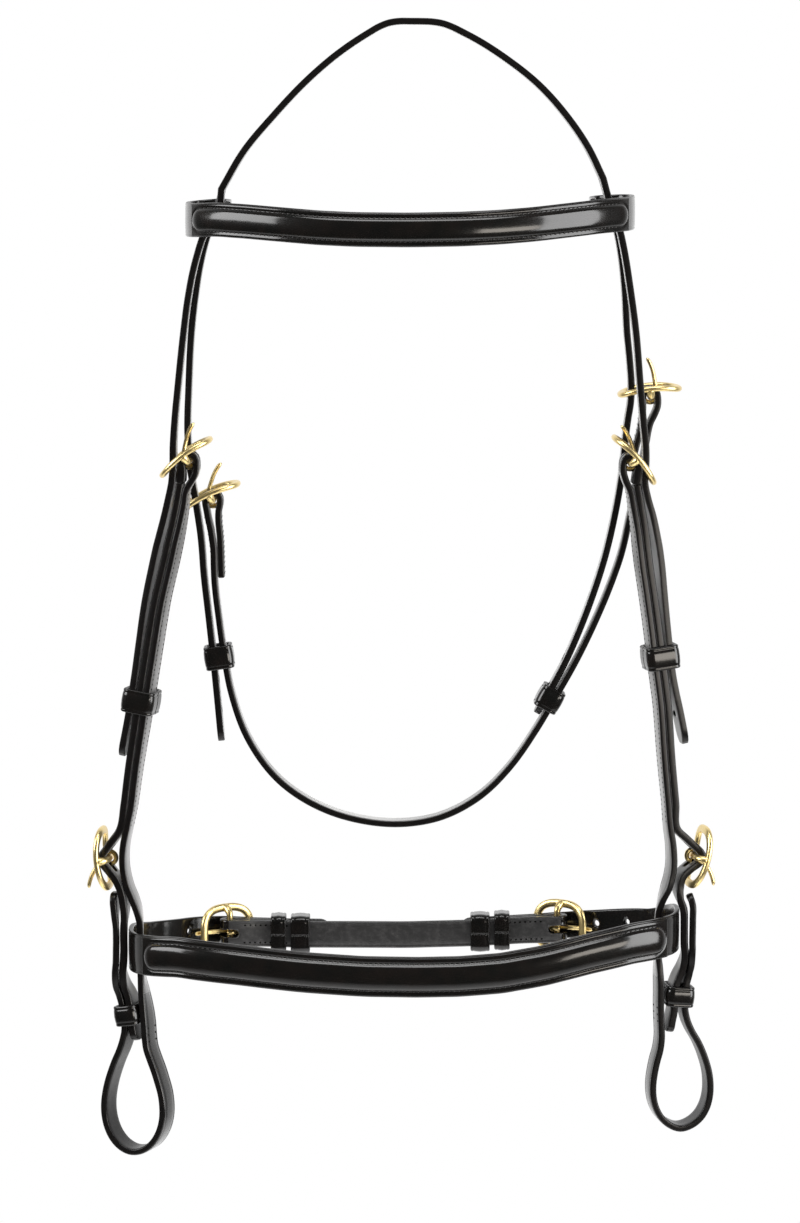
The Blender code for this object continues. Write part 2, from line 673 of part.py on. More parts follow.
def build_cheek(data):
    label = data["label"]
    side = SIDES[label]
    main, outer, lower = cheek_lines(data)
    path, across = side.place(main)
    name = f"cheek_strap_{label}"
    made = strap(name, path, across, CHEEK_W, tip_end=5.0)
    settle(made)
    bar_frame = side.frame(data["cheek_bar"], (0.0, 1.0))
    slot_chape(made, bar_frame)
    smooth(made)
    name = f"cheek_facing_{label}"
    flat = facing_line(data, outer, lower)
    path, across = side.place(flat)
    made = strap(name, path, across, CHEEK_W, tip_end=4.0)
    settle(made)
    slot_chape(made, side.frame(data["bit_bar"], (1.0, 0.0)))
    smooth(made)
    for kind, prefix in (("cheek", "cheek_buckle"), ("bit", "bit_buckle")):
        bar = data[f"{kind}_bar"]
        buckle_frame(f"{prefix}_{label}", side.frame(bar, data[f"{kind}_lean"]))
        buckle_tongue(f"{prefix}_tongue_{label}", side.frame(bar, data[f"{kind}_tongue"]), TONGUE_L)
    return main, lower, flat


def stack_keeper(name, side, inner_q, outer_q, z, slope, width, length, play=KEEPER_PLAY):
    """A keeper round straps whose middles lie from inner_q to outer_q at the height z."""
    middle = ((inner_q + outer_q) / 2, z)
    where = side.frame(middle, slope)
    thick = abs(outer_q - inner_q) * abs(unit(np.array(slope))[1]) + STRAP_T
    return keeper(name, where, thick, width, length, play)


def build_keepers(data, main, facing):
    label = data["label"]
    side = SIDES[label]
    z = data["keeper_z"]
    low, high = z - 5, z + 5
    centre = data["centre"]
    slope = (at_height(centre, low) - at_height(centre, high), low - high)
    inner = at_height(centre, z) - PITCH / 2
    outer = at_height(data["billet"], z)
    stack_keeper(f"cheek_keeper_{label}", side, inner, outer, z, (-slope[0], -slope[1]), CHEEK_W, KEEPER_L)
    z = data["bit_keeper_z"]
    bottom = int(np.argmin(main[:, 1]))
    low = facing[facing[:, 1] < data["bit_bar"][1] - FRAME_L / 2]
    inner, outer = at_height(low, z), at_height(main[bottom:], z)
    lean = (at_height(low, z + 5) - at_height(low, z - 5), 10.0)
    stack_keeper(f"bit_keeper_{label}", side, inner, outer, z, lean, CHEEK_W, BIT_KEEPER_L, data["bit_keeper_play"])


# Throatlatch

def build_throatlatch():
    left_bar = np.array([-LEFT["throat_bar"][0], LEFT["throat_bar"][1]])
    right_bar = np.array(RIGHT["throat_bar"])
    middle = spline(THROAT, 8.0)
    # Left end: the strap is the outer leg of the fold and the turned end lies inside it.
    left_tail = spline([(-95.0, -281), (-95.5, -262), left_bar + [FOLD_R - 0.2, -6.0], left_bar + [FOLD_R, 0]], 6.0)
    left_fold = arc(left_bar, FOLD_R, 0, 180, 10)
    left_leg = spline([left_bar + [-FOLD_R, 0], left_bar + [-FOLD_R + 0.6, -8.0], (-100.4, -256), middle[0]], 5.0)
    right_leg = spline([middle[-1], (124.6, -200), right_bar + [FOLD_R - 0.2, -6.0], right_bar + [FOLD_R, 0]], 5.0)
    right_fold = arc(right_bar, FOLD_R, 0, 180, 10)
    right_tail = spline([right_bar + [-FOLD_R, 0], right_bar + [-FOLD_R, -6.0], (119.6, -202), (116.0, -217)], 6.0)
    flat = joined(left_tail, left_fold, left_leg, middle, right_leg, right_fold, right_tail)
    path = np.stack([flat[:, 0], 0 * flat[:, 0] + THROAT_Y, flat[:, 1]], axis=1)
    across = np.tile([0.0, 1.0, 0.0], (len(path), 1))
    made = settle(strap("throatlatch", path, across, THROAT_W))
    for data in (LEFT, RIGHT):
        label = data["label"]
        side = THROAT_SIDES[label]
        where = side.frame(data["throat_bar"], (0.0, 1.0))
        reach = FOLD_R + STRAP_T
        slot = box_cutter(f"throatlatch_slot_{label}", where, (SLOT_BACK, -SLOT_W / 2, -reach), (reach, SLOT_W / 2, reach))
        boolean(made, slot, "DIFFERENCE")
        buckle_frame(f"throat_buckle_{label}", side.frame(data["throat_bar"], data["throat_lean"]))
        buckle_tongue(f"throat_buckle_tongue_{label}", side.frame(data["throat_bar"], data["throat_tongue"]), TONGUE_L)
    smooth(made)
    left = THROAT_SIDES["left"]
    stack_keeper("throat_keeper_left", left, 93.5, at_height(LEFT["throat_billet"], -322), -322.0, (0.14, 0.99), THROAT_W, KEEPER_L)
    right = THROAT_SIDES["right"]
    slope = unit(np.array([0.487, 0.873]))
    inward = np.array([-slope[1], slope[0]])
    on_strap = np.array([75.0, -344.6])
    where = right.frame(on_strap + inward * 2.0, slope)
    keeper("throat_keeper_right", where, PITCH + STRAP_T, THROAT_W, KEEPER_L)


# Bands


def band_section(path, outward, up, base_t, cover_w, bump, end_run):
    """The columns of a raised cover over a base: flanges at the edges and a raised middle that sinks at each end."""
    run = np.concatenate([[0.0], np.cumsum(np.linalg.norm(np.diff(path, axis=0), axis=1))])
    away = np.minimum(run, run[-1] - run)
    rise = np.sqrt(np.clip(1 - (1 - np.clip(away / end_run, 0, 1)) ** 2, 0, 1))
    half = cover_w / 2
    v = np.array([-half, -0.69 * half, -0.62 * half, -0.44 * half, 0, 0.44 * half, 0.62 * half, 0.69 * half, half])
    h = np.array([0, 0, 0.5, 0.88, 1.0, 0.88, 0.5, 0, 0]) * bump
    lift = base_t / 2 + LAYER_GAP + COVER_T / 2 + h[None, :] * rise[:, None]
    return path[:, None] + up[:, None] * v[None, :, None] + outward[:, None] * lift[:, :, None], rise


def raised_band(name, path, outward, up, base_t, cover_w, bump, filler_name):
    points, rise = band_section(path, outward, up, base_t, cover_w, bump, 9.0)
    made = make_object(name, points.reshape(-1, 3), grid_faces(len(path), 9), leather_for(name))
    thicken(made, COVER_T)
    smooth(made)
    inside = slice(2, -2)
    rise = rise[inside]
    p, o, upward = path[inside], outward[inside], up[inside]
    half = cover_w / 2
    v = np.array([-0.52, -0.38, 0.0, 0.38, 0.52, 0.0]) * half
    top = np.array([0.28, 0.80, 0.93, 0.80, 0.28, 0.0]) * bump
    low = base_t / 2 + LAYER_GAP
    lift = low + np.maximum(top[None, :] * rise[:, None] - 0.05, 0.12)
    lift[:, 5] = low
    rings = p[:, None] + upward[:, None] * v[None, :, None] + o[:, None] * lift[:, :, None]
    filler = loft(filler_name, rings, material("felt " + filler_name, (0.35, 0.33, 0.30), 0.9, 0.0))
    smooth(filler)


def plan_outward(path, centre):
    """Unit vectors level with the floor, square to the path, away from the centre."""
    t = tangents(path)
    out = unit(np.stack([t[:, 1], -t[:, 0], 0 * t[:, 0]], axis=1))
    away = path - np.asarray(centre)
    flip = np.sign((out * away).sum(axis=1, keepdims=True))
    return out * np.where(flip == 0, 1, flip)


RING_MIDDLE = (-1.6, 0.0)
RING_HALF = 140.0
RING_FRONT = 60.0
RING_BACK = 66.0
RING_POWER = 2 / 2.7
RING_FRONT_Z = [(-142, -470.0), (-116, -467.5), (-84, -469.5), (-53, -472.3), (-22, -474.2), (6, -474.6), (27, -474.2), (47, -472.8), (68, -469.5), (93, -464.0), (114, -460.5), (138, -459.5)]
RING_BACK_Z = [(-142, -470.5), (-101, -473.0), (-60, -474.4), (0, -474.8), (36, -473.7), (84, -470.8), (128, -464.5), (138, -460.5)]


def ring_point(t, shrink=0.0):
    """A spot of the noseband ring, at an angle in degrees from the right cheek through the back."""
    a = np.radians(np.asarray(t, float))
    c, s = np.cos(a), np.sin(a)
    x = RING_MIDDLE[0] + (RING_HALF - shrink) * np.sign(c) * np.abs(c) ** RING_POWER
    depth = np.where(s > 0, RING_BACK, RING_FRONT) - shrink
    y = RING_MIDDLE[1] + depth * np.sign(s) * np.abs(s) ** RING_POWER
    front = np.interp(x, *zip(*RING_FRONT_Z))
    back = np.interp(x, *zip(*RING_BACK_Z))
    mix = np.clip((y - RING_MIDDLE[1] + 30) / 60, 0, 1)
    return np.stack([x, y, front * (1 - mix) + back * mix], axis=-1)


def even_run(points, step):
    """The same line, sampled at equal steps."""
    run = np.concatenate([[0.0], np.cumsum(np.linalg.norm(np.diff(points, axis=0), axis=1))])
    s = np.linspace(0, run[-1], int(round(run[-1] / step)) + 1)
    return np.stack([np.interp(s, run, points[:, k]) for k in range(3)], axis=1)


JAW_MIDDLE_Y = 54.0
REAR_BAR_LEFT_IN = 47.0
REAR_BAR_RIGHT_IN = 61.0
REAR_BAR_BACK = 0.6
REAR_BAR = {
    "left": (-(RING_HALF - REAR_BAR_LEFT_IN), JAW_MIDDLE_Y + REAR_BAR_BACK),
    "right": (RING_HALF - REAR_BAR_RIGHT_IN, JAW_MIDDLE_Y + REAR_BAR_BACK),
}


def jaw_line():
    """The plan line of the jaw strap, with its turned ends."""
    left = np.array(REAR_BAR["left"])
    right = np.array(REAR_BAR["right"])
    y = JAW_MIDDLE_Y
    beside = y + PITCH
    left_x, right_x = left[0], right[0]
    tail_left = spline([(left_x + 31.0, beside + 0.06), (left_x + 15.0, beside), left + [7.0, FOLD_R - 0.9], left + [0, FOLD_R]], 6.0)
    fold_left = arc(left, FOLD_R, 90, 270, 10)
    rise = [(6.0, -FOLD_R + 0.4 + REAR_BAR_BACK), (12.0, -1.3), (18.0, -0.2), (26.0, 0.0), (36.0, 0.05)]
    from_left = [(left_x + dx, y + dy) for dx, dy in rise]
    from_right = [(right_x - dx, y + dy) for dx, dy in rise[::-1]]
    body = spline([left + [0, -FOLD_R]] + from_left + [(0.0, y + 0.8)] + from_right + [right + [0, -FOLD_R]], 7.0)
    fold_right = arc(right, FOLD_R, -90, 90, 10)
    tail_right = spline([right + [0, FOLD_R], right + [-7.0, FOLD_R - 0.9], (right_x - 15.0, beside), (right_x - 31.0, beside + 0.06)], 6.0)
    return joined(tail_left, fold_left, body, fold_right, tail_right)


def jaw_z(x):
    return np.interp(x, *zip(*RING_BACK_Z))


def build_noseband():
    y_tail = JAW_MIDDLE_Y + PITCH + STRAP_T / 2 + NOSE_BASE_T / 2 + LAYER_GAP
    half = ring_point(np.linspace(180 - 38, 360 + 38, 160))
    left_x, right_x = REAR_BAR["left"][0], REAR_BAR["right"][0]
    left_back = [(53.0, 0.0), (31.0, 0.0), (17.0, -0.1), (9.0, -0.3), (0.0, 1.1), (-8.0, -0.6), (-16.0, -4.6)]
    right_back = [(16.0, -4.4), (8.0, -0.6), (0.0, 1.1), (-9.0, -0.3), (-17.0, -0.1), (-31.0, 0.0), (-51.0, 0.0)]
    left_end = [(left_x + dx, y_tail + dy) for dx, dy in left_back]
    right_end = [(right_x + dx, y_tail + dy) for dx, dy in right_back]
    ring = half[(half[:, 1] < 44.0)]
    plan = np.concatenate([left_end, ring[::4, :2], ring[-1:, :2], right_end])
    flat = spline(plan, 7.0)
    height = np.interp(flat[:, 0], *zip(*RING_FRONT_Z))
    back = jaw_z(flat[:, 0])
    mix = np.clip((flat[:, 1] - RING_MIDDLE[1] + 30) / 60, 0, 1)
    path = np.stack([flat[:, 0], flat[:, 1], height * (1 - mix) + back * mix], axis=1)
    up = np.tile([0.0, 0.0, 1.0], (len(path), 1))
    taper = np.clip((path[:, 1] - 8.0) / 26.0, 0, 1)
    width = NOSE_W + (NOSE_BILLET_W - NOSE_W) * taper
    name = "noseband_base"
    made = strap(name, path, up, width, NOSE_BASE_T, tip_start=6.0, tip_end=6.0)
    settle(made)
    punch(made, path, up, (20.0, 74.0, 92.0))
    punch(made, path, up, (20.0, 78.0), from_end=False)
    smooth(made)
    front = even_run(ring_point(np.linspace(180 + 24, 360 - 23, 240)), 7.5)
    outward = plan_outward(front, (RING_MIDDLE[0], RING_MIDDLE[1], 0))
    level = np.tile([0.0, 0.0, 1.0], (len(front), 1))
    raised_band("noseband_raised", front, outward, level, NOSE_BASE_T, NOSE_W - 0.6, NOSE_BUMP, "noseband_filler")


def build_jaw():
    flat = jaw_line()
    path = np.stack([flat[:, 0], flat[:, 1], jaw_z(flat[:, 0])], axis=1)
    up = np.tile([0.0, 0.0, 1.0], (len(path), 1))
    made = settle(strap("jaw_strap", path, up, NOSE_BILLET_W))
    for label, sign in (("left", -1), ("right", 1)):
        x, y = REAR_BAR[label]
        centre = np.array([x, y, float(jaw_z(x))])
        out = np.array([0.0, 1.0, 0.0])
        cheekward = np.array([float(sign), 0.0, 0.0])
        where = basis(centre, cheekward, out)
        reach = FOLD_R + STRAP_T
        slot = box_cutter(f"jaw_slot_{label}", where, (SLOT_BACK, -SLOT_W / 2, -reach), (reach, SLOT_W / 2, reach))
        boolean(made, slot, "DIFFERENCE")
        lean = math.radians(35)
        along = cheekward * math.cos(lean) - out * math.sin(lean)
        outward = out * math.cos(lean) + cheekward * math.sin(lean)
        buckle_frame(f"noseband_buckle_{label}", basis(centre, along, outward))
        tongue = math.radians(22)
        along = cheekward * math.cos(tongue) - out * math.sin(tongue)
        outward = out * math.cos(tongue) + cheekward * math.sin(tongue)
        buckle_tongue(f"noseband_buckle_tongue_{label}", basis(centre, along, outward), JAW_TONGUE_L)
    smooth(made)
    y = JAW_MIDDLE_Y
    thick = PITCH + STRAP_T + NOSE_BASE_T + LAYER_GAP
    stack_mid = y - STRAP_T / 2 + thick / 2
    left_x, right_x = REAR_BAR["left"][0], REAR_BAR["right"][0]
    spots = (
        ("noseband_keeper_fixed_left", left_x + 25.5, FIXED_KEEPER_L),
        ("noseband_keeper_left", left_x + 37.0, JAW_KEEPER_L),
        ("noseband_keeper_fixed_right", right_x - 29.0, FIXED_KEEPER_L),
        ("noseband_keeper_right", right_x - 40.5, JAW_KEEPER_L),
    )
    for name, x, length in spots:
        where = basis(np.array([x, stack_mid, float(jaw_z(x))]), np.array([1.0, 0, 0]), np.array([0, 1.0, 0]))
        keeper(name, where, thick, NOSE_BILLET_W, length)


# Browband

BROW_Z = [(-112, -97.6), (-95, -96.2), (-79, -96.8), (-61, -98.0), (-44, -99.2), (-26, -99.9), (1, -100.1), (26, -99.7), (44, -99.0), (62, -97.8), (79, -96.2), (97, -94.6), (112, -94.0)]
BROW_FRONT = -70.0
BROW_CURVE = [(-93.5, 33), (-74, 18.5), (-50, 7.5), (-25, 1.5), (1, 0), (27, 1.5), (52, 7.5), (76, 18.5), (96, 33)]
LOOP_REAR = 22.5
BROW_LEFT_IN = -90.1
BROW_LEFT_OUT = -111.0
BROW_RIGHT_IN = 93.4
BROW_RIGHT_OUT = 114.0


def build_browband():
    """A strap across the brow whose ends fold round the headpiece's two legs and lie back inside them."""
    left_in, right_in = BROW_LEFT_IN, BROW_RIGHT_IN
    left_out, right_out = BROW_LEFT_OUT, BROW_RIGHT_OUT

    def end(sign, out_x, in_x):
        mid = (out_x + in_x) / 2
        r = abs(out_x - in_x) / 2
        turn = arc((mid, LOOP_REAR - r), r, 0 if sign > 0 else 180, 180 if sign > 0 else 0, 12)
        inner_leg = [(in_x, LOOP_REAR - r - 8), (in_x + sign * 0.5, -8.0), (in_x - sign * 0.6, -19.0)]
        return turn, inner_leg

    right_turn, right_leg = end(1, right_out, right_in)
    left_turn, left_leg = end(-1, left_out, left_in)
    r_right = (right_out - right_in) / 2
    r_left = (left_in - left_out) / 2
    left_side = [(left_out, LOOP_REAR - r_left - 1), (left_out + 1.0, -8), (left_out + 5.5, -23)]
    right_side = [(right_out - 5.5, -23), (right_out - 1.0, -8), (right_out, LOOP_REAR - r_right - 1)]
    body = spline(left_side + [(x, BROW_FRONT + back) for x, back in BROW_CURVE] + right_side, 7.0)
    right = spline([right_turn[-1]] + right_leg, 5.0)
    left = spline(([left_turn[-1]] + left_leg)[::-1], 5.0)
    flat = joined(left, left_turn[::-1], body, right_turn, right)
    path = np.stack([flat[:, 0], flat[:, 1], np.interp(flat[:, 0], *zip(*BROW_Z))], axis=1)
    up = np.tile([0.0, 0.0, 1.0], (len(path), 1))
    strap("browband_base", path, up, BROW_W, BROW_BASE_T)
    smooth(bpy.data.objects["browband_base"])
    run = body[(body[:, 1] < -17.5)]
    line = np.stack([run[:, 0], run[:, 1], np.interp(run[:, 0], *zip(*BROW_Z))], axis=1)
    line = even_run(line, 7.5)
    outward = plan_outward(line, (0, 0, 0))
    level = np.tile([0.0, 0.0, 1.0], (len(line), 1))
    raised_band("browband_raised", line, outward, level, BROW_BASE_T, BROW_W - 0.6, BROW_BUMP, "browband_filler")


build_headpiece()
for data in (LEFT, RIGHT):
    main_line, lower_line, facing = build_cheek(data)
    build_keepers(data, main_line, facing)
build_throatlatch()
build_noseband()
build_jaw()
build_browband()
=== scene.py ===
"""Dresses the packed in-hand bridle: polished black leather, waxed stitching, cast brass and a studio.

Sizes are in millimetres inside the script and become metres where a mesh is made. The lines
of the straps are the same as in the part's own source, so each dressed piece lies where its
solid lies. Every piece is a surface of two parameters: a profile carried along a line.
"""

import json
import math

import bmesh
import bpy
import numpy as np
from bpy.props import FloatProperty, FloatVectorProperty, IntProperty, PointerProperty
from mathutils import Matrix, Vector


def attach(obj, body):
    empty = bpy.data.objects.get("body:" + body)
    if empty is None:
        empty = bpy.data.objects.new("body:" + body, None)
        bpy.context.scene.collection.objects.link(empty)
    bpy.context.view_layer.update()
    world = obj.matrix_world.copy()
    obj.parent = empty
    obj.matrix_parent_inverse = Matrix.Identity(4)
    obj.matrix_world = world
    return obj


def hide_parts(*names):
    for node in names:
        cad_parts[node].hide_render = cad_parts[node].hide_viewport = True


bl_info = {
    "name": "In-hand bridle looks",
    "version": (1, 0, 0),
    "blender": (4, 5, 0),
    "location": "3D View > Sidebar > Bridle",
    "description": "Leather, stitching, brass and studio for the packed in-hand bridle",
    "category": "Object",
}

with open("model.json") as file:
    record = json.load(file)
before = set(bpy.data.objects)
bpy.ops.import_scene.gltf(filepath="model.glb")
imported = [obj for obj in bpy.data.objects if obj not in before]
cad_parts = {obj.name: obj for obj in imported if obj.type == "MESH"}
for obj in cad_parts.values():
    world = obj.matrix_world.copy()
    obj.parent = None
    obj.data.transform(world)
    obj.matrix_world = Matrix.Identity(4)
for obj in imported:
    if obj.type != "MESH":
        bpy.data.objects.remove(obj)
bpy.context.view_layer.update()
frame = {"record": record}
BODIES = frame["record"]["behaviour"]["bodies"]
BODY_OF = {node: body for body, nodes in BODIES.items() for node in nodes}

MM = 0.001

# The bridle's own sizes in millimetres, as in the part's source. T is a thickness, W a width, L a length and
# R a radius.
STRAP_T = 3.4
LAYER_GAP = 0.35
PITCH = STRAP_T + LAYER_GAP
CHEEK_W = 13.0
THROAT_W = 11.0
CROWN_W = 28.0
SLIT_FRONT = -1.0
SLIT_REAR = CROWN_W / 2 - THROAT_W
HOLE_R = 1.7
FRAME_L = 33.0
FRAME_W = 29.0
RAIL_U = 4.2
RAIL_N = 3.0
BAR_R = 1.6
END_LIFT = 2.4
SIDE_LIFT = 4.5
BAR_GAP = 0.45
FOLD_R = BAR_R + BAR_GAP + STRAP_T / 2
TONGUE_R = 1.2
TONGUE_RING = BAR_R + BAR_GAP + TONGUE_R
SLOT_W = 4.4
SLOT_BACK = -(TONGUE_RING + TONGUE_R + 0.4)
TAIL_LENGTH = 10.6
KEEPER_T = 1.8
KEEPER_PLAY = 0.9
CHEEK_Y = -8.0
THROAT_Y = 15.0
NOSE_BASE_T = 2.6
NOSE_W = 20.5
NOSE_BILLET_W = 14.0
NOSE_BUMP = 2.2
BROW_BASE_T = 2.4
BROW_W = 17.0
BROW_BUMP = 1.8
COVER_T = 1.8
COVER_INSET = 0.6
LEG_SETTLED_Z = -185.0
BILLET_TIP = 7.0
FOOT_SHARE = 0.69
END_MARGIN = 2.2
CROTCH_SEAM = 7.0

# Details of the dressing, in millimetres, degrees or shares
TAIL_PLUMP = 1.5
FACING_PLUMP = 0.4
BUTT_ROUND = 0.35
BUTT_GAP = 0.2
KEEPER_DOME = 0.35
KEEPER_CORNER = 2.6
KEEPER_EDGE = 0.7
KEEPER_CREASE = 1.6
KEEPER_CREASE_DROP = 0.14
SEAM_DIP = 0.45
SEAM_HALF = 0.28
SEAM_LEAN = 0.45
REPEAT_GAP = 0.35
PUNCH_SIDES = 24
PUNCH_REACH = STRAP_T * 1.5
STITCH_STATIONS = 5
STITCH_SIDES = 6
FRAME_POWER = 2 / 2.9
CORNER_POWER = 0.85
BAR_SWELL = 0.55
BAR_SWELL_L = 4.5
BAR_SIDES = 20
TONGUE_TIP_DROP = 1.0
TONGUE_FLAT = 1.08
TONGUE_TIP = 2.2
TONGUE_TAPER = 0.16
FRONT_TO_BACK = 60.0
DOME_SIDE_POWER = 2.3
DOME_POWER = 0.62
COVER_EDGE_DROP = 0.8
COVER_EDGE_R = 1.2
FILLER_SINK = 0.3
SKIN_SIGHT = 0.86
STATION_STEP = 1.6
STRAP_ROUND = 0.9
BAND_ROUND = 0.8
CREASE_HALF = 0.42
STITCH_HEIGHT = 0.3
LOWER_PART = 0.62
SEAM_STITCH = 2.0
SEAM_LONGER = 1.25
LEG_TIP_DRAW = 0.93
STRAP_TIP_DRAW = 0.9
TAIL_PLUMP_EASE = 3.0
CHEEK_HOLES = (16.0, 34.0)
THROAT_HOLES = (16.0, 32.0)
NOSE_HOLES_RIGHT = (20.0, 74.0, 92.0)
NOSE_HOLES_LEFT = (20.0, 78.0)
JAW_TURNED = 42.0
ROW_MARGIN = 2.5
THROAT_LEG_SEWN = 78.0
GROOVE_ROW_END = 11.0
GROOVE_BED = 0.18
REAR_FRAME_LEAN = 35.0
REAR_TONGUE_LEAN = 22.0
THROAT_KEEPER_LEFT_AT = (93.5, -322.0)
THROAT_KEEPER_LEFT_WAY = (0.14, 0.99)
THROAT_KEEPER_RIGHT_AT = (75.0, -344.6)
THROAT_KEEPER_RIGHT_WAY = (0.487, 0.873)


# The straps' lines. A side of the head is laid out flat, as (q, z): the distance out from the middle, and the
# height. Middle and turn say how far each height is turned about the vertical.

LEFT = {
    "sign": -1,
    "label": "left",
    "middle": [
        (0, 0), (-90, 96), (-150, 112), (-210, 114), (-270, 123), (-340, 136), (-405, 143), (-440, 142),
        (-480, 139), (-520, 138.6), (-600, 138.6),
    ],
    "turn": [
        (0, 0), (-200, 0), (-230, 2), (-262, 15), (-335, 15), (-395, 8), (-430, 8), (-446, 8), (-458, -4),
        (-481, -4), (-494, 14), (-506, 22), (-600, 22),
    ],
    "billet": [
        (93.5, -87.3), (102.3, -104.9), (106.6, -118.4), (110.5, -137.5), (112.5, -152.6), (115.5, -179.8),
        (117.6, -201.5), (118.2, -212), (118.5, -226), (121.5, -244), (127.0, -268), (131.6, -289.9),
        (135.0, -313), (137.6, -331.4), (140.7, -349.3), (145.0, -369.9),
    ],
    "cheek_bar_beside": -2.4,
    "cheek_lean": (-0.8, 0.6),
    "cheek_tongue": (-0.19, 0.98),
    "centre": [
        (112.8, -232), (116.0, -251), (119.8, -269), (124.7, -289.9), (128.3, -311), (131.6, -331.4),
        (135.0, -352.4), (138.6, -373.5), (141.6, -394.6),
    ],
    "main": [
        (142.3, -407), (144.4, -418), (144.5, -427), (142.5, -437), (139.0, -446), (137.1, -453),
        (136.9, -462), (136.9, -477), (135.9, -486), (134.0, -497), (132.8, -504), (132.0, -511),
        (131.4, -519), (126.4, -533), (122.4, -547), (122.3, -557), (125.2, -566), (130.8, -572.5),
        (139.0, -575.5), (147.5, -572.3), (153.0, -564.5), (155.1, -555), (154.4, -546), (150.3, -532),
        (145.2, -520), (143.2, -512), (143.95, -504.5), (144.95, -498.2), (147.0, -492.6), (149.15, -487.2),
        (149.2, -474), (149.1, -460), (149.6, -450.5), (149.7, -440.6),
    ],
    "bit_bar_out": 7.65,
    "bit_bar_z": -423.0,
    "bit_lean": (0.11, 0.994),
    "bit_tongue": (0.52, -0.85),
    "keeper_z": -341.6,
    "bit_keeper_z": -504.0,
    "bit_keeper_play": 0.85,
    "facing_leave": -409.0,
    "facing_low": [
        (146.6, -437), (144.6, -445), (144.4, -451), (145.0, -458), (145.1, -472), (145.1, -486.8),
        (142.45, -492.8), (140.9, -498), (139.95, -504), (139.05, -509.5), (138.3, -514), (137.5, -517.5),
    ],
    "throat_billet": [
        (96.0, -92), (101.2, -106), (104.8, -120), (107.6, -137), (109.6, -154.3), (111.2, -181.9),
        (111.8, -210), (110.2, -228), (107.5, -245), (105.4, -260), (103.9, -280), (101.7, -300),
        (99.6, -320), (97.3, -344), (95.4, -365.5),
    ],
    "throat_bar_beside": 0.3,
    "throat_bar_rise": 24.7,
    "throat_lean": (-0.91, 0.415),
    "throat_tongue": (-0.28, 0.96),
}

RIGHT = {
    "sign": 1,
    "label": "right",
    "middle": [
        (0, 0), (-90, 100), (-150, 114), (-210, 116), (-270, 124), (-340, 132), (-405, 135), (-440, 136),
        (-480, 136), (-520, 139.0), (-600, 139.0),
    ],
    "turn": [
        (0, 0), (-200, 0), (-230, 2), (-262, 12), (-335, 12), (-395, 8), (-425, 12), (-438, 12), (-448, -4),
        (-471, -4), (-482, 10), (-600, 10),
    ],
    "billet": [
        (101.0, -86), (107.4, -104.4), (109.6, -115), (112.4, -132.4), (115.2, -152.6), (117.6, -179.8),
        (119.6, -201.5), (120.6, -212), (120.6, -221), (120.0, -230), (123.6, -246), (127.6, -269),
        (129.6, -289.4), (131.7, -309.9), (134.3, -330.4), (138.3, -348.3), (141.5, -363.7),
    ],
    "cheek_bar_beside": -1.2,
    "cheek_lean": (-0.66, 0.75),
    "cheek_tongue": (-0.30, 0.95),
    "centre": [
        (114.2, -233), (117.0, -248.7), (119.4, -269), (122.5, -289.4), (125.2, -309), (127.2, -325),
        (129.4, -340.6), (132.0, -371.4), (134.3, -394.0),
    ],
    "main": [
        (133.4, -406), (135.0, -418), (134.9, -429), (132.6, -438), (129.6, -447), (128.6, -456),
        (128.6, -466), (128.6, -478), (128.9, -490), (128.9, -501), (129.3, -511), (129.2, -519),
        (127.2, -527), (125.6, -535), (125.0, -543.2), (126.6, -551.6), (131.6, -559.3), (139.8, -563.1),
        (148.8, -559.3), (153.8, -551.6), (155.2, -543.2), (154.6, -535), (152.4, -527), (149.0, -518.8),
        (144.9, -511.6), (142.1, -504.0), (141.8, -493), (142.6, -486.5), (144.6, -480.5), (146.0, -474.5),
        (146.3, -463), (146.4, -452), (146.0, -445.5), (144.3, -441.6),
    ],
    "bit_bar_out": 11.54,
    "bit_bar_z": -422.0,
    "bit_lean": (0.26, 0.966),
    "bit_tongue": (0.52, -0.85),
    "keeper_z": -319.0,
    "bit_keeper_z": -494.0,
    "bit_keeper_play": 0.9,
    "facing_leave": -408.0,
    "facing_low": [
        (139.6, -433), (138.6, -439), (139.6, -444), (141.6, -449), (142.0, -455), (142.0, -464),
        (141.9, -476), (139.8, -481.5), (137.2, -487), (136.1, -493), (136.1, -500), (135.0, -506),
        (133.9, -513),
    ],
    "throat_billet": [
        (103.0, -92), (106.4, -104), (108.6, -116), (110.6, -134), (111.8, -154.3), (113.6, -172),
        (114.3, -187), (112.0, -204), (109.6, -228.5), (105.6, -251.6), (100.7, -272.2), (96.0, -287.2),
        (89.0, -306.3), (80.9, -325), (70.9, -343.6), (66.6, -351.2),
    ],
    "throat_bar_beside": 2.6,
    "throat_bar_rise": 27.0,
    "throat_lean": (-0.994, -0.108),
    "throat_tongue": (-0.15, 0.99),
}

CROWN = [
    (-93.3, -82), (-82.1, -63.1), (-67.2, -45.4), (-50.1, -27.5), (-35.0, -14.6), (-20.5, -4.8),
    (-12.5, -0.3), (-6.0, 1.7), (6.0, 1.7), (16.4, 0.9), (31.4, -5.6), (49.9, -17.1), (65.9, -29.8),
    (80.0, -45.4), (91.1, -61.6), (98.4, -76.6),
]
THROAT = [
    (-99.0, -266), (-98.4, -284), (-96.6, -300), (-94.2, -318), (-90.0, -341), (-81.5, -364.5),
    (-65.4, -386.3), (-44.9, -399.9), (-24.2, -406.6), (-3.6, -408.5), (17.0, -405.1), (37.6, -394.1),
    (53.6, -378.0), (65.4, -361.0), (76.2, -342.6), (87.4, -322.4), (96.6, -303), (104.4, -284),
    (109.8, -268), (113.8, -250), (118.3, -230), (121.4, -215),
]
RING_MIDDLE = (-1.6, 0.0)
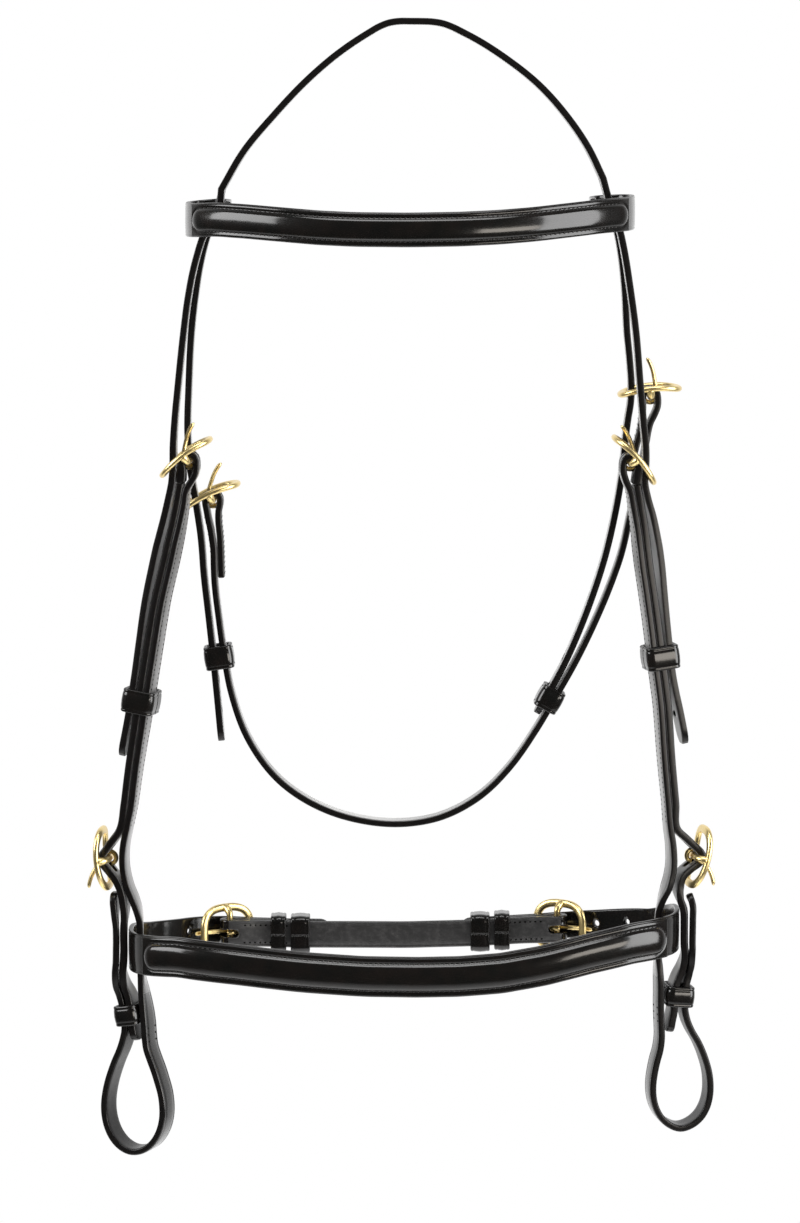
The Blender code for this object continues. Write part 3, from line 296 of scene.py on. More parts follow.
NOSE_CENTRE = (*RING_MIDDLE, 0)
RING_HALF = 140.0
RING_FRONT = 60.0
RING_BACK = 66.0
RING_POWER = 2 / 2.7
RING_FRONT_Z = [
    (-142, -470.0), (-116, -467.5), (-84, -469.5), (-53, -472.3), (-22, -474.2), (6, -474.6), (27, -474.2),
    (47, -472.8), (68, -469.5), (93, -464.0), (114, -460.5), (138, -459.5),
]
RING_BACK_Z = [
    (-142, -470.5), (-101, -473.0), (-60, -474.4), (0, -474.8), (36, -473.7), (84, -470.8), (128, -464.5),
    (138, -460.5),
]
JAW_MIDDLE_Y = 54.0
REAR_BAR_LEFT_IN = 47.0
REAR_BAR_RIGHT_IN = 61.0
REAR_BAR_BACK = 0.6
REAR_BAR = {
    "left": (-(RING_HALF - REAR_BAR_LEFT_IN), JAW_MIDDLE_Y + REAR_BAR_BACK),
    "right": (RING_HALF - REAR_BAR_RIGHT_IN, JAW_MIDDLE_Y + REAR_BAR_BACK),
}
BROW_Z = [
    (-112, -97.6), (-95, -96.2), (-79, -96.8), (-61, -98.0), (-44, -99.2), (-26, -99.9), (1, -100.1),
    (26, -99.7), (44, -99.0), (62, -97.8), (79, -96.2), (97, -94.6), (112, -94.0),
]
BROW_FRONT = -70.0
BROW_CURVE = [
    (-93.5, 33), (-74, 18.5), (-50, 7.5), (-25, 1.5), (1, 0), (27, 1.5), (52, 7.5), (76, 18.5), (96, 33),
]
LOOP_REAR = 22.5
BROW_LEFT_IN = -90.1
BROW_LEFT_OUT = -111.0
BROW_RIGHT_IN = 93.4
BROW_RIGHT_OUT = 114.0
TONGUE_L = 19.5
JAW_TONGUE_L = 19.0
CHEEK_BAR_RISE = 12.8
KEEPER_L = 12.0
BIT_KEEPER_L = 10.5
JAW_KEEPER_L = 10.0
FIXED_KEEPER_L = 8.0


# Lines


def unit(v):
    """Each vector over its length."""
    return v / np.linalg.norm(v, axis=-1, keepdims=True)


def tangents(path):
    """The unit vector along a line at each of its points."""
    return unit(np.gradient(path, axis=0))


def running(path):
    """The distance along a line at each of its points."""
    return np.concatenate([[0.0], np.cumsum(np.linalg.norm(np.diff(path, axis=0), axis=1))])


def cubic(points, s):
    """The piecewise cubic through the points, with one tangent at each, at distances s along its chords."""
    p = np.asarray(points, float)
    gaps = np.linalg.norm(np.diff(p, axis=0), axis=1)
    at = np.concatenate([[0.0], np.cumsum(gaps)])
    slope = np.diff(p, axis=0) / gaps[:, None]
    tangent = np.empty_like(p)
    tangent[0], tangent[-1] = slope[0], slope[-1]
    before, after = gaps[:-1, None], gaps[1:, None]
    tangent[1:-1] = (slope[:-1] * after + slope[1:] * before) / (before + after)
    i = np.clip(np.searchsorted(at, s, side="right") - 1, 0, len(gaps) - 1)
    h = gaps[i][:, None]
    t = ((s - at[i]) / gaps[i])[:, None]
    return (
        (2 * t**3 - 3 * t**2 + 1) * p[i]
        + (t**3 - 2 * t**2 + t) * h * tangent[i]
        + (3 * t**2 - 2 * t**3) * p[i + 1]
        + (t**3 - t**2) * h * tangent[i + 1]
    )


def sampled(s, run, values):
    """Every column of a table of values along a line, read at the distances s."""
    return np.stack([np.interp(s, run, column) for column in np.transpose(values)], axis=-1)


def full_turn(count):
    """Even angles once round, without a last one that repeats the first."""
    return np.linspace(0, 2 * math.pi, count, endpoint=False)


def oval(t, power):
    """Cosine and sine, each with its size raised to a power: the oval |x|^(2/power) + |y|^(2/power) = 1."""
    c, s = np.cos(t), np.sin(t)
    return np.sign(c) * np.abs(c) ** power, np.sign(s) * np.abs(s) ** power


def spline(points, step):
    """The cubic through the points, with a sample about every step."""
    length = running(np.asarray(points, float))[-1]
    return cubic(points, np.linspace(0.0, length, max(2, int(round(length / step)) + 1)))


def arc(centre, radius, start_deg, end_deg, steps):
    """Points of a circle at even angles."""
    a = np.radians(np.linspace(start_deg, end_deg, steps + 1))
    return np.stack([centre[0] + radius * np.cos(a), centre[1] + radius * np.sin(a)], axis=1)


def joined(*runs):
    """The runs end to end, leaving out points that repeat."""
    path = np.concatenate([np.asarray(run, float) for run in runs])
    keep = [0]
    for i in range(1, len(path)):
        if np.linalg.norm(path[i] - path[keep[-1]]) > REPEAT_GAP:
            keep.append(i)
    return path[keep]


def offset_line(points, by):
    """A line beside a (q, z) line, by the given distance towards its left as it is walked."""
    p = np.asarray(points, float)
    t = tangents(p)
    return p + np.stack([-t[:, 1], t[:, 0]], axis=1) * by


def at_height(line, z):
    """How far out a (q, z) line is at a height."""
    line = np.asarray(line)
    order = np.argsort(line[:, 1])
    return np.interp(z, line[order, 1], line[order, 0])


def basis(where, along, outward):
    """Rows of a frame: the spot, and the directions along, across and outward."""
    along, outward = np.asarray(along, float), np.asarray(outward, float)
    return np.stack([np.asarray(where, float), along, np.cross(outward, along), outward])


def from_frame(at, points):
    """Points given as (along, across, outward) in the frame, in space."""
    return at[0] + np.asarray(points) @ at[1:]


UP = np.array([0.0, 0.0, 1.0])
# The directions of a frame of basis(), in its own coordinates
ALONG, ACROSS, OUTWARD = np.eye(3)


class Side:
    """One side of the head: flat (q, z) points set in space, turned about the vertical by their height."""

    def __init__(self, sign, middle, turn, plane):
        self.sign, self.plane = sign, plane
        self.middle = np.array(middle, float)
        self.turn = np.array(turn, float)

    def _at(self, table, z):
        return np.interp(-np.asarray(z, float), -table[:, 0], table[:, 1])

    def axes(self, z):
        """The outward and the backward direction at each height, turned about the vertical."""
        a = np.radians(self._at(self.turn, z))
        zero = np.zeros_like(a)
        out = np.stack([self.sign * np.cos(a), np.sin(a), zero], axis=-1)
        across = np.stack([-self.sign * np.sin(a), np.cos(a), zero], axis=-1)
        return out, across

    def place(self, flat):
        """Flat points in space: q out from the head's middle, along the turned direction, at height z."""
        flat = np.asarray(flat, float)
        q, z = flat[..., 0], flat[..., 1]
        mid = self._at(self.middle, z)
        out, across = self.axes(z)
        base = np.stack([self.sign * mid, np.zeros_like(q) + self.plane, z], axis=-1)
        return base + (q - mid)[..., None] * out, across

    def frame(self, point, direction):
        """The frame at a flat point, with along in a flat direction and outward square to it."""
        where, _ = self.place(point)
        out, _ = self.axes(point[1])
        d = unit(np.asarray(direction, float))
        outward = (d[1] * out - d[0] * UP) * (-1 if d[1] < d[0] else 1)
        return basis(where, d[0] * out + d[1] * UP, outward)


# Meshes


def grid_faces(rows, columns, close_rows=False, close_columns=False):
    """The four corners of every cell of a grid of points, as one array."""
    r = np.arange(rows if close_rows else rows - 1)[:, None]
    c = np.arange(columns if close_columns else columns - 1)
    r2, c2 = (r + 1) % rows, (c + 1) % columns
    corners = [r * columns + c, r * columns + c2, r2 * columns + c2, r2 * columns + c]
    return np.stack(corners, axis=-1).reshape(-1, 4)


def build_mesh(name, points, faces, looks, kinds=None, uv=None, caps=()):
    """An object at the origin from millimetre points, with a material per quad and a uv pair per point."""
    mesh = bpy.data.meshes.new(name)
    points = np.asarray(points, float).reshape(-1, 3) * MM
    loops = np.concatenate([np.asarray(faces).ravel()] + [np.asarray(cap) for cap in caps]).astype(np.int32)
    sizes = np.concatenate([np.full(len(faces), 4), [len(cap) for cap in caps]]).astype(np.int32)
    mesh.vertices.add(len(points))
    mesh.vertices.foreach_set("co", points.astype(np.float32).ravel())
    mesh.loops.add(len(loops))
    mesh.loops.foreach_set("vertex_index", loops)
    mesh.polygons.add(len(sizes))
    mesh.polygons.foreach_set("loop_start", np.concatenate([[0], np.cumsum(sizes)[:-1]]).astype(np.int32))
    smooth = np.concatenate([np.ones(len(faces), bool), np.zeros(len(caps), bool)])
    mesh.polygons.foreach_set("use_smooth", smooth)
    if kinds is not None:
        slots = np.concatenate([kinds, np.zeros(len(caps), int)]).astype(np.int32)
        mesh.polygons.foreach_set("material_index", slots)
    if uv is not None:
        layer = mesh.uv_layers.new(name="surface")
        layer.data.foreach_set("uv", (np.asarray(uv).reshape(-1, 2)[loops] * MM).astype(np.float32).ravel())
    for look in looks:
        mesh.materials.append(look)
    mesh.validate()
    mesh.update(calc_edges=True)
    made = bpy.data.objects.new(name, mesh)
    bpy.context.scene.collection.objects.link(made)
    return made


def end_caps(stations, around):
    """The first ring of a tube, turned round to face out, and the last one."""
    return [np.arange(around)[::-1], np.arange((stations - 1) * around, stations * around)]


def tube_mesh(name, rings, looks, kinds=None, uv=None, closed=False):
    """The skin of rings of points, (stations, points, 3), capped at both ends unless it closes on itself."""
    stations, around = rings.shape[:2]
    faces = grid_faces(stations, around, close_rows=closed, close_columns=True)
    caps = [] if closed else end_caps(stations, around)
    return facing_out(build_mesh(name, rings, faces, looks, kinds, uv, caps))


def facing_out(made):
    """Turns the whole skin over if its enclosed volume comes out negative."""
    mesh = made.data
    mesh.calc_loop_triangles()
    count = len(mesh.loop_triangles)
    corners = np.empty(count * 3, np.int32)
    mesh.loop_triangles.foreach_get("vertices", corners)
    co = np.empty(len(mesh.vertices) * 3, np.float32)
    mesh.vertices.foreach_get("co", co)
    p = co.reshape(-1, 3).astype(float)[corners].reshape(-1, 3, 3)
    if np.einsum("ij,ij->i", p[:, 0], np.cross(p[:, 1], p[:, 2])).sum() < 0:
        mesh.flip_normals()
    return made


def join(name, parts):
    """Several objects' meshes as one piece."""
    with bpy.context.temp_override(active_object=parts[0], selected_editable_objects=parts, object=parts[0]):
        bpy.ops.object.join()
    parts[0].name = name
    parts[0].data.name = name
    return parts[0]


def stands_for(made, slot, *nodes):
    """The piece rides on its node's body, and the node itself is no longer shown."""
    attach(made, BODY_OF[nodes[0]])
    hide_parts(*nodes)


def cut(made, cutters):
    """Takes the closed cutters out of the piece, and keeps the finished mesh."""
    for cutter in cutters:
        step = made.modifiers.new("cut", "BOOLEAN")
        step.operation = "DIFFERENCE"
        step.solver = "EXACT"
        step.object = cutter
    bpy.context.view_layer.update()
    graph = bpy.context.evaluated_depsgraph_get()
    mesh = bpy.data.meshes.new_from_object(made.evaluated_get(graph))
    made.modifiers.clear()
    made.data = mesh
    for cutter in cutters:
        bpy.data.objects.remove(cutter)


def prism(name, at, outline, reach):
    """A cutter: an (along, across) outline carried from -reach to reach outward in the frame."""
    outline = np.asarray(outline, float)
    flat = np.zeros((2, len(outline), 3))
    flat[:, :, :2] = outline
    flat[0, :, 2], flat[1, :, 2] = -reach, reach
    return tube_mesh(name, from_frame(at, flat), [])


def slot_outline(start, stop, width):
    """A slot with round ends, from start to stop along its middle."""
    r, half = width / 2, PUNCH_SIDES // 2
    return np.concatenate([arc((stop - r, 0), r, -90, 90, half), arc((start + r, 0), r, 90, 270, half)])


def punch(name, spot, way, out):
    """The cutter of one round billet hole."""
    a = full_turn(PUNCH_SIDES)
    outline = np.stack([HOLE_R * np.cos(a), HOLE_R * np.sin(a)], axis=1)
    return prism(name, basis(spot, way, out), outline, PUNCH_REACH)


# Straps

# Where the stations of a rounded end lie, in shares of its rounding
END_STATIONS = np.array([0.0, 0.06, 0.2, 0.45, 0.75, 1.0])


class Ribbon:
    """A strap's middle line with its directions: across the strap and square to its grain side.

    The line is the cubic through the source's own stations, sampled closely, and more closely at both ends
    so that the cut edges and tips come out round. The grain side is tangent cross across, times the sign.
    """

    def __init__(
        self,
        path,
        across,
        width,
        thickness,
        grain,
        tip_start=0.0,
        tip_end=0.0,
        rounding=STRAP_ROUND,
        start_round=None,
    ):
        chord = running(path)
        length = chord[-1]
        near = END_STATIONS * rounding
        inner = np.arange(rounding + STATION_STEP, length - rounding - STATION_STEP * 0.5, STATION_STEP)
        s = [inner, near, length - near]
        for tip, at_end in ((tip_start, False), (tip_end, True)):
            if tip:
                fine = np.arange(rounding, tip + 1.0, 0.5)
                s.append(length - fine if at_end else fine)
        s = np.unique(np.round(np.concatenate(s), 3))
        s = s[(s >= 0) & (s <= length)]
        s = s[np.concatenate([[True], np.diff(s) > 0.02])]
        self.path = cubic(path, s)
        self.run = running(self.path)
        self.length = self.run[-1]
        side = sampled(s, chord, across)
        self.way = tangents(self.path)
        self.out = unit(np.cross(self.way, side)) * grain
        self.side = np.cross(self.out, self.way)
        self.rounding = rounding
        self.start_round = rounding if start_round is None else start_round
        spread = lambda v: np.interp(s, chord, np.broadcast_to(np.asarray(v, float), (len(path),)))
        self.thickness = spread(thickness)
        wide = spread(width)
        for tip, distance in ((tip_start, self.run), (tip_end, self.length - self.run)):
            if tip:
                wide = wide * np.sqrt(1 - (STRAP_TIP_DRAW * np.clip(1 - distance / tip, 0, 1)) ** 2)
        self.width = wide

    def at(self, s):
        """Frames at distances along the strap: spot, way, side and out, each (count, 3)."""
        spot, *ways = (sampled(s, self.run, v) for v in (self.path, self.way, self.side, self.out))
        return spot, *map(unit, ways)

    def where(self, column, value, start, stop=None):
        """The distance along the strap, between start and stop, at which a coordinate is nearest a value."""
        stop = self.length if stop is None else stop
        inside = (self.run >= start) & (self.run <= stop)
        gap = np.where(inside, np.abs(self.path[:, column] - value), np.inf)
        return float(self.run[np.argmin(gap)])


def strap_rings(line, crease, groove, dome):
    """A rounded rectangle at each station, its corners rounded and its ends drawn in to the same radius.

    The grain side has a crease pressed just inside each edge and is a little domed; the flesh side is flat.
    """
    end = np.clip(np.minimum(line.run / line.start_round, (line.length - line.run) / line.rounding), 0, 1)
    draw = np.sqrt(1 - (1 - end) ** 2)
    r = min(line.rounding, line.thickness.min() * 0.45)
    a = (line.width / 2 - r + r * draw)[:, None]
    b = (line.thickness / 2 - r + r * draw)[:, None]
    rr = np.minimum(r, np.minimum(a, b) * 0.98)
    turn = np.radians([0, 22.5, 45, 67.5, 90])
    u, n = [], []

    def corner(su, sn, angles):
        for angle in angles:
            u.append(su * (a - rr + rr * math.cos(angle)))
            n.append(sn * (b - rr + rr * math.sin(angle)))

    def flat(su, sn, insets, drop):
        for inset, depth in zip(insets, drop):
            u.append(su * np.maximum(a - inset, 0.25 * a))
            n.append(sn * (b - depth * draw[:, None]))

    insets = (crease - CREASE_HALF, crease, crease + CREASE_HALF)
    drops = (0.0, groove, 0.0)
    corner(1, 1, turn)
    flat(1, 1, insets, drops)
    for share in (0.36, 0.0, -0.36):
        u.append(share * a)
        n.append(b + dome * (1 - abs(share)) * draw[:, None])
    flat(-1, 1, insets[::-1], drops[::-1])
    corner(-1, 1, turn[::-1])
    corner(-1, -1, turn)
    for share in (-0.5, 0.0, 0.5):
        u.append(share * a)
        n.append(-b)
    corner(1, -1, turn[::-1])
    u = np.concatenate(u, axis=1)
    n = np.concatenate(n, axis=1)
    rings = line.path[:, None] + line.side[:, None] * u[:, :, None] + line.out[:, None] * n[:, :, None]
    return rings, u, n


EDGE, GRAIN, FLESH = 0, 1, 2


def strap_kinds(line, around_n, inside, back):
    """Which material each cell takes, from how far its middle is from the strap's middle sheet.

    Inside is a stretch along the strap whose outer face is left as flesh; back is the other face's material.
    """
    middle = (around_n + np.roll(around_n, -1, axis=1)) / 2
    share = middle[:-1] / (line.thickness[:-1, None] / 2)
    low, high = inside or (1.0, 0.0)
    plain = ((line.run[:-1] > low) & (line.run[:-1] < high))[:, None]
    front = np.where(plain, FLESH, GRAIN)
    return np.where(share > SKIN_SIGHT, front, np.where(share < -SKIN_SIGHT, back, EDGE)).ravel()


def strap_piece(name, line, looks, inside=None, back=FLESH):
    """A strap: its rings joined, with a uv of the way round the section and the way along the strap."""
    sizes = sizes_of("leather")
    rings, u, n = strap_rings(line, mm(sizes.crease_inset), mm(sizes.crease_depth), mm(sizes.dome))
    along = np.broadcast_to(line.run[:, None], u.shape)
    steps = np.hypot(np.diff(u, axis=1), np.diff(n, axis=1))
    girth = np.cumsum(np.concatenate([u[:, :1] * 0, steps], axis=1), axis=1)
    uv = np.stack([girth, along], axis=-1)
    return tube_mesh(name, rings, looks, strap_kinds(line, n, inside, back), uv)


def punched(made, line, distances, from_end=True):
    """Round billet holes through a strap, at distances from its end."""
    s = np.asarray(distances, float)
    spot, way, _, out = line.at(line.length - s if from_end else s)
    cut(made, [punch(f"punch_{k}", spot[k], way[k], out[k]) for k in range(len(s))])


# Stitches


def stitch_form(length, width, height):
    """One stitch: half a bean, round in section, thickest in the middle, its ends sunk into their holes."""
    along, around = STITCH_STATIONS, STITCH_SIDES
    t = np.linspace(0, 1, along)
    swell = np.sqrt(np.clip(np.sin(math.pi * (0.06 + 0.88 * t)), 0, 1))
    sink = height * (1 - np.sin(math.pi * t)) * 1.2
    a = full_turn(around)
    x = np.broadcast_to((t - 0.5)[:, None] * length, (along, around))
    y = np.cos(a) * (width / 2) * swell[:, None]
    z = np.sin(a) * height * swell[:, None] - sink[:, None]
    points = np.stack([x, y, z], axis=-1).reshape(-1, 3)
    faces = grid_faces(along, around, close_columns=True)
    return points, faces, end_caps(along, around)


def stitch_rows(name, rows, look, sizes, longer=1.0):
    """Stitches at every spot of the rows, as one mesh. Each row is (spot, way, side, out) from Ribbon.at."""
    thread = mm(sizes.thread)
    points, faces, caps = stitch_form(mm(sizes.stitch_length) * longer, thread, thread * STITCH_HEIGHT)
    spot, way, side, out = (np.concatenate([row[k] for row in rows]) for k in range(4))
    leaning = way * math.cos(sizes.slant) + side * math.sin(sizes.slant)
    beside = np.cross(out, leaning)
    all_points = (
        spot[:, None]
        + leaning[:, None] * points[None, :, :1]
        + beside[:, None] * points[None, :, 1:2]
        + out[:, None] * points[None, :, 2:]
    )
    count, size = len(spot), len(points)
    shift = (np.arange(count) * size)[:, None, None]
    quads = (faces[None] + shift).reshape(-1, 4)
    ends = [cap + k * size for k in range(count) for cap in caps]
    uv = np.stack([points[:, 1], points[:, 0]], axis=1)[None] + 0 * all_points[:, :, :2]
    return build_mesh(name, all_points, quads, [look], None, uv, ends)


def row_on(line, start, stop, inset, sizes):
    """A row of stitches on a strap's grain side, inset from the edge on the side given by inset's sign."""
    count = max(2, int(round(abs(stop - start) / mm(sizes.pitch))))
    s = np.linspace(min(start, stop), max(start, stop), count)
    spot, way, side, out = line.at(s)
    half = np.interp(s, line.run, line.width) / 2
    lift = np.interp(s, line.run, line.thickness)[:, None] / 2
    across = np.sign(inset) * (half - abs(inset))
    return spot + side * across[:, None] + out * lift, way, side, out


# The straps' lines, laid out


def place_bars(data):
    """Each buckle's bar sits beside the strap that is turned round it."""
    top_q, top_z = data["centre"][0]
    data["cheek_bar"] = (top_q + data["cheek_bar_beside"], top_z + CHEEK_BAR_RISE)
    z = data["bit_bar_z"]
    data["bit_bar"] = (at_height(data["main"][:6], z) + data["bit_bar_out"], z)
    end_x, end_z = THROAT[0] if data["sign"] < 0 else THROAT[-1]
    data["throat_bar"] = (abs(end_x) + data["throat_bar_beside"], end_z + data["throat_bar_rise"])


SIDES, THROAT_SIDES = {}, {}
for data in (LEFT, RIGHT):
    place_bars(data)
    SIDES[data["label"]] = Side(data["sign"], data["middle"], data["turn"], CHEEK_Y)
    THROAT_SIDES[data["label"]] = Side(data["sign"], [(0, 100), (-600, 100)], [(0, 0), (-600, 0)], THROAT_Y)


def tangent_to(centre, point, sign):
    """Where a line from the point meets the fold round the bar on its outer side, and that spot's angle."""
    d = np.asarray(point) - centre
    spot = math.atan2(d[1], d[0]) - sign * math.acos(FOLD_R / math.hypot(*d))
    return centre + FOLD_R * np.array([math.cos(spot), math.sin(spot)]), math.degrees(spot)


def cheek_lines(data):
    """The flat lines of the main strap, of its outer neighbour, and of its lower part with the bit loop."""
    bar = np.array(data["cheek_bar"])
    centre = spline(data["centre"], 10.0)
    inner = offset_line(centre, -PITCH / 2)
    outer = offset_line(centre, PITCH / 2)
    top_in = spline([bar + [-FOLD_R, 0], bar + [-FOLD_R + 0.1, -5.0], inner[0]], 4.0)
    tail_end = (outer[0, 0] - 0.1, bar[1] - TAIL_LENGTH)
    tail = spline([tail_end, bar + [FOLD_R - 0.1, -4.5], bar + [FOLD_R, 0]], 4.0)
    fold = arc(bar, FOLD_R, 0, 180, 10)
    lower = spline(np.concatenate([inner[-2:], data["main"]]), 6.0)
    return joined(tail, fold, top_in, inner[1:-2], lower), outer, lower


def facing_line(data, outer, lower):
    """The facing: beside the main strap, round the bar of the bit buckle, and down outside the noseband."""
    bar = np.array(data["bit_bar"])
    start = np.array([outer[0, 0], data["cheek_bar"][1] - TAIL_LENGTH - BUTT_GAP])
    beside = offset_line(lower, PITCH)
    leave_z = data["facing_leave"]
    leave = np.array([at_height(beside[:8], leave_z), leave_z])
    body = outer[(outer[:, 1] > leave_z + 4) & (outer[:, 1] < start[1] - 4)]
    up_leg, up_angle = tangent_to(bar, leave, +1)
    low = np.array(data["facing_low"])
    down_leg, down_angle = tangent_to(bar, low[0], -1)
    turn = arc(bar, FOLD_R, up_angle, down_angle, 8)
    into = spline([leave, leave * 0.5 + up_leg * 0.5, up_leg], 5.0)
    out = spline(np.concatenate([[down_leg], low]), 6.0)
    return joined(np.concatenate([[start], body, [leave]]), into, turn, out)


def throat_line():
    """The throatlatch from the end of its left tail, round both bars and under the jaw, to its right tail."""
    left_bar = np.array([-LEFT["throat_bar"][0], LEFT["throat_bar"][1]])
    right_bar = np.array(RIGHT["throat_bar"])
    middle = spline(THROAT, 8.0)
    left_in, left_out = left_bar + [FOLD_R, 0], left_bar + [-FOLD_R, 0]
    right_in, right_out = right_bar + [-FOLD_R, 0], right_bar + [FOLD_R, 0]
    flat = joined(
        spline([(-95.0, -281), (-95.5, -262), left_bar + [FOLD_R - 0.8, -6.0], left_in], 6.0),
        arc(left_bar, FOLD_R, 0, 180, 10),
        spline([left_out, left_bar + [-FOLD_R + 1.2, -8.0], (-100.4, -256), middle[0]], 5.0),
        middle,
        spline([middle[-1], (124.6, -200), right_bar + [FOLD_R - 0.2, -6.0], right_out], 5.0),
        arc(right_bar, FOLD_R, 0, 180, 10),
        spline([right_in, right_bar + [-FOLD_R, -6.0], (119.6, -202), (116.0, -217)], 6.0),
    )
    return np.stack([flat[:, 0], 0 * flat[:, 0] + THROAT_Y, flat[:, 1]], axis=1)


def crown_line():
    """The crown's arch as (x, z), level over the poll."""
    line = spline(CROWN, 5.5)
    line[np.abs(line[:, 0]) < 6.0, 1] = STRAP_T / 2
    return line


def plan_outward(path, centre):
    """Unit vectors level with the floor, square to the path, away from the centre."""
    t = tangents(path)
    out = unit(np.stack([t[:, 1], -t[:, 0], 0 * t[:, 0]], axis=1))
    flip = np.sign((out * (path - np.asarray(centre))).sum(axis=1, keepdims=True))
    return out * np.where(flip == 0, 1, flip)


def ring_point(t):
    """A spot of the noseband ring, at an angle in degrees from the right cheek through the back."""
    c, s = oval(np.radians(np.asarray(t, float)), RING_POWER)
    x = RING_MIDDLE[0] + RING_HALF * c
    y = RING_MIDDLE[1] + np.where(s > 0, RING_BACK, RING_FRONT) * s
    return np.stack([x, y, ring_height(x, y)], axis=-1)


def ring_height(x, y):
    """The noseband's height: the front's, going over into the back's across the cheeks."""
    mix = np.clip((y - RING_MIDDLE[1] + FRONT_TO_BACK / 2) / FRONT_TO_BACK, 0, 1)
    return np.interp(x, *zip(*RING_FRONT_Z)) * (1 - mix) + jaw_z(x) * mix


def jaw_z(x):
    """The height of the noseband's back and of the jaw strap."""
    return np.interp(x, *zip(*RING_BACK_Z))


def even_run(points, step):
    """A line sampled again at even steps."""
    run = running(points)
    return sampled(np.linspace(0, run[-1], int(round(run[-1] / step)) + 1), run, points)


def jaw_line():
    """The jaw strap's line with its turned ends, seen from above and then set at its height."""
    left, right, y = np.array(REAR_BAR["left"]), np.array(REAR_BAR["right"]), JAW_MIDDLE_Y
    beside, left_x, right_x = y + PITCH, left[0], right[0]
    tail = [(left_x + 31.0, beside + 0.06), (left_x + 15.0, beside), left + [7.0, FOLD_R - 0.9]]
    tail_left = spline(tail + [left + [0, FOLD_R]], 6.0)
    fold_left = arc(left, FOLD_R, 90, 270, 10)
    rise = [(6.0, -FOLD_R + 0.4 + REAR_BAR_BACK), (12.0, -1.3), (18.0, -0.2), (26.0, 0.0), (36.0, 0.05)]
    from_left = [(left_x + dx, y + dy) for dx, dy in rise]
    from_right = [(right_x - dx, y + dy) for dx, dy in rise[::-1]]
    middle = from_left + [(0.0, y + 0.8)] + from_right
    body = spline([left + [0, -FOLD_R]] + middle + [right + [0, -FOLD_R]], 7.0)
    fold_right = arc(right, FOLD_R, -90, 90, 10)
    tail = [right + [-7.0, FOLD_R - 0.9], (right_x - 15.0, beside), (right_x - 31.0, beside + 0.06)]
    tail_right = spline([right + [0, FOLD_R]] + tail, 6.0)
    flat = joined(tail_left, fold_left, body, fold_right, tail_right)
    return np.column_stack([flat, jaw_z(flat[:, 0])])


def noseband_line():
    """The noseband's line from one billet tip round the front to the other."""
    y_tail = JAW_MIDDLE_Y + PITCH + STRAP_T / 2 + NOSE_BASE_T / 2 + LAYER_GAP
    half = ring_point(np.linspace(180 - 38, 360 + 38, 160))
    left_x, right_x = REAR_BAR["left"][0], REAR_BAR["right"][0]
    left_back = [(53.0, 0.0), (31.0, 0.0), (17.0, -0.1), (9.0, -0.3), (0.0, 1.1), (-8.0, -0.6), (-16.0, -4.6)]
    right_back = [
        (16.0, -4.4), (8.0, -0.6), (0.0, 1.1), (-9.0, -0.3), (-17.0, -0.1), (-31.0, 0.0), (-51.0, 0.0),
    ]
    left_end = [(left_x + dx, y_tail + dy) for dx, dy in left_back]
    right_end = [(right_x + dx, y_tail + dy) for dx, dy in right_back]
    ring = half[half[:, 1] < 44.0]
    flat = spline(np.concatenate([left_end, ring[::4, :2], ring[-1:, :2], right_end]), 7.0)
    return np.column_stack([flat, ring_height(flat[:, 0], flat[:, 1])])


def browband_lines():
    """The browband's whole line, with its end loops, and the stretch of it under the raised cover."""

    def end(sign, out_x, in_x):
        r = abs(out_x - in_x) / 2
        rear = LOOP_REAR - r
        turn = arc(((out_x + in_x) / 2, rear), r, 0 if sign > 0 else 180, 180 if sign > 0 else 0, 12)
        return turn, [(in_x, rear - 8), (in_x + sign * 0.5, -8.0), (in_x - sign * 0.6, -19.0)], rear

    right_turn, right_leg, right_rear = end(1, BROW_RIGHT_OUT, BROW_RIGHT_IN)
    left_turn, left_leg, left_rear = end(-1, BROW_LEFT_OUT, BROW_LEFT_IN)
    left_out, right_out = BROW_LEFT_OUT, BROW_RIGHT_OUT
    left_side = [(left_out, left_rear - 1), (left_out + 1.0, -8), (left_out + 5.5, -23)]
    right_side = [(right_out - 5.5, -23), (right_out - 1.0, -8), (right_out, right_rear - 1)]
    body = spline(left_side + [(x, BROW_FRONT + back) for x, back in BROW_CURVE] + right_side, 7.0)
    right = spline([right_turn[-1]] + right_leg, 5.0)
    left = spline(([left_turn[-1]] + left_leg)[::-1], 5.0)
    flat = joined(left, left_turn[::-1], body, right_turn, right)
    tall = lambda line: np.column_stack([line, np.interp(line[:, 0], *zip(*BROW_Z))])
    return tall(flat), even_run(tall(body[body[:, 1] < -17.5]), 7.5)


def facing_sign(path, across, share, direction):
    """The grain sign that turns a strap's grain towards a direction, at a share of its stations."""
    k = int(share * (len(path) - 1))
    return 1 if np.dot(np.cross(tangents(path)[k], across[k]), direction) > 0 else -1


def flat_ribbon(side, flat, width, share, direction, thickness, **more):
    """A strap whose line lies flat on one side of the head."""
    path, across = side.place(flat)
    return Ribbon(path, across, width, thickness, facing_sign(path, across, share, direction), **more)


def upright_ribbon(path, width, thickness, share, direction, **more):
    """A strap on edge, as the bands are."""
    across = np.tile(UP, (len(path), 1))
    return Ribbon(path, across, width, thickness, facing_sign(path, across, share, direction), **more)


def tongue_slot(name, at):
    """The cutter for the slot that lets a tongue through a turned end."""
    return prism(name, at, slot_outline(SLOT_BACK, FOLD_R + STRAP_T + SLOT_W, SLOT_W), FOLD_R + STRAP_T)


# Headpiece


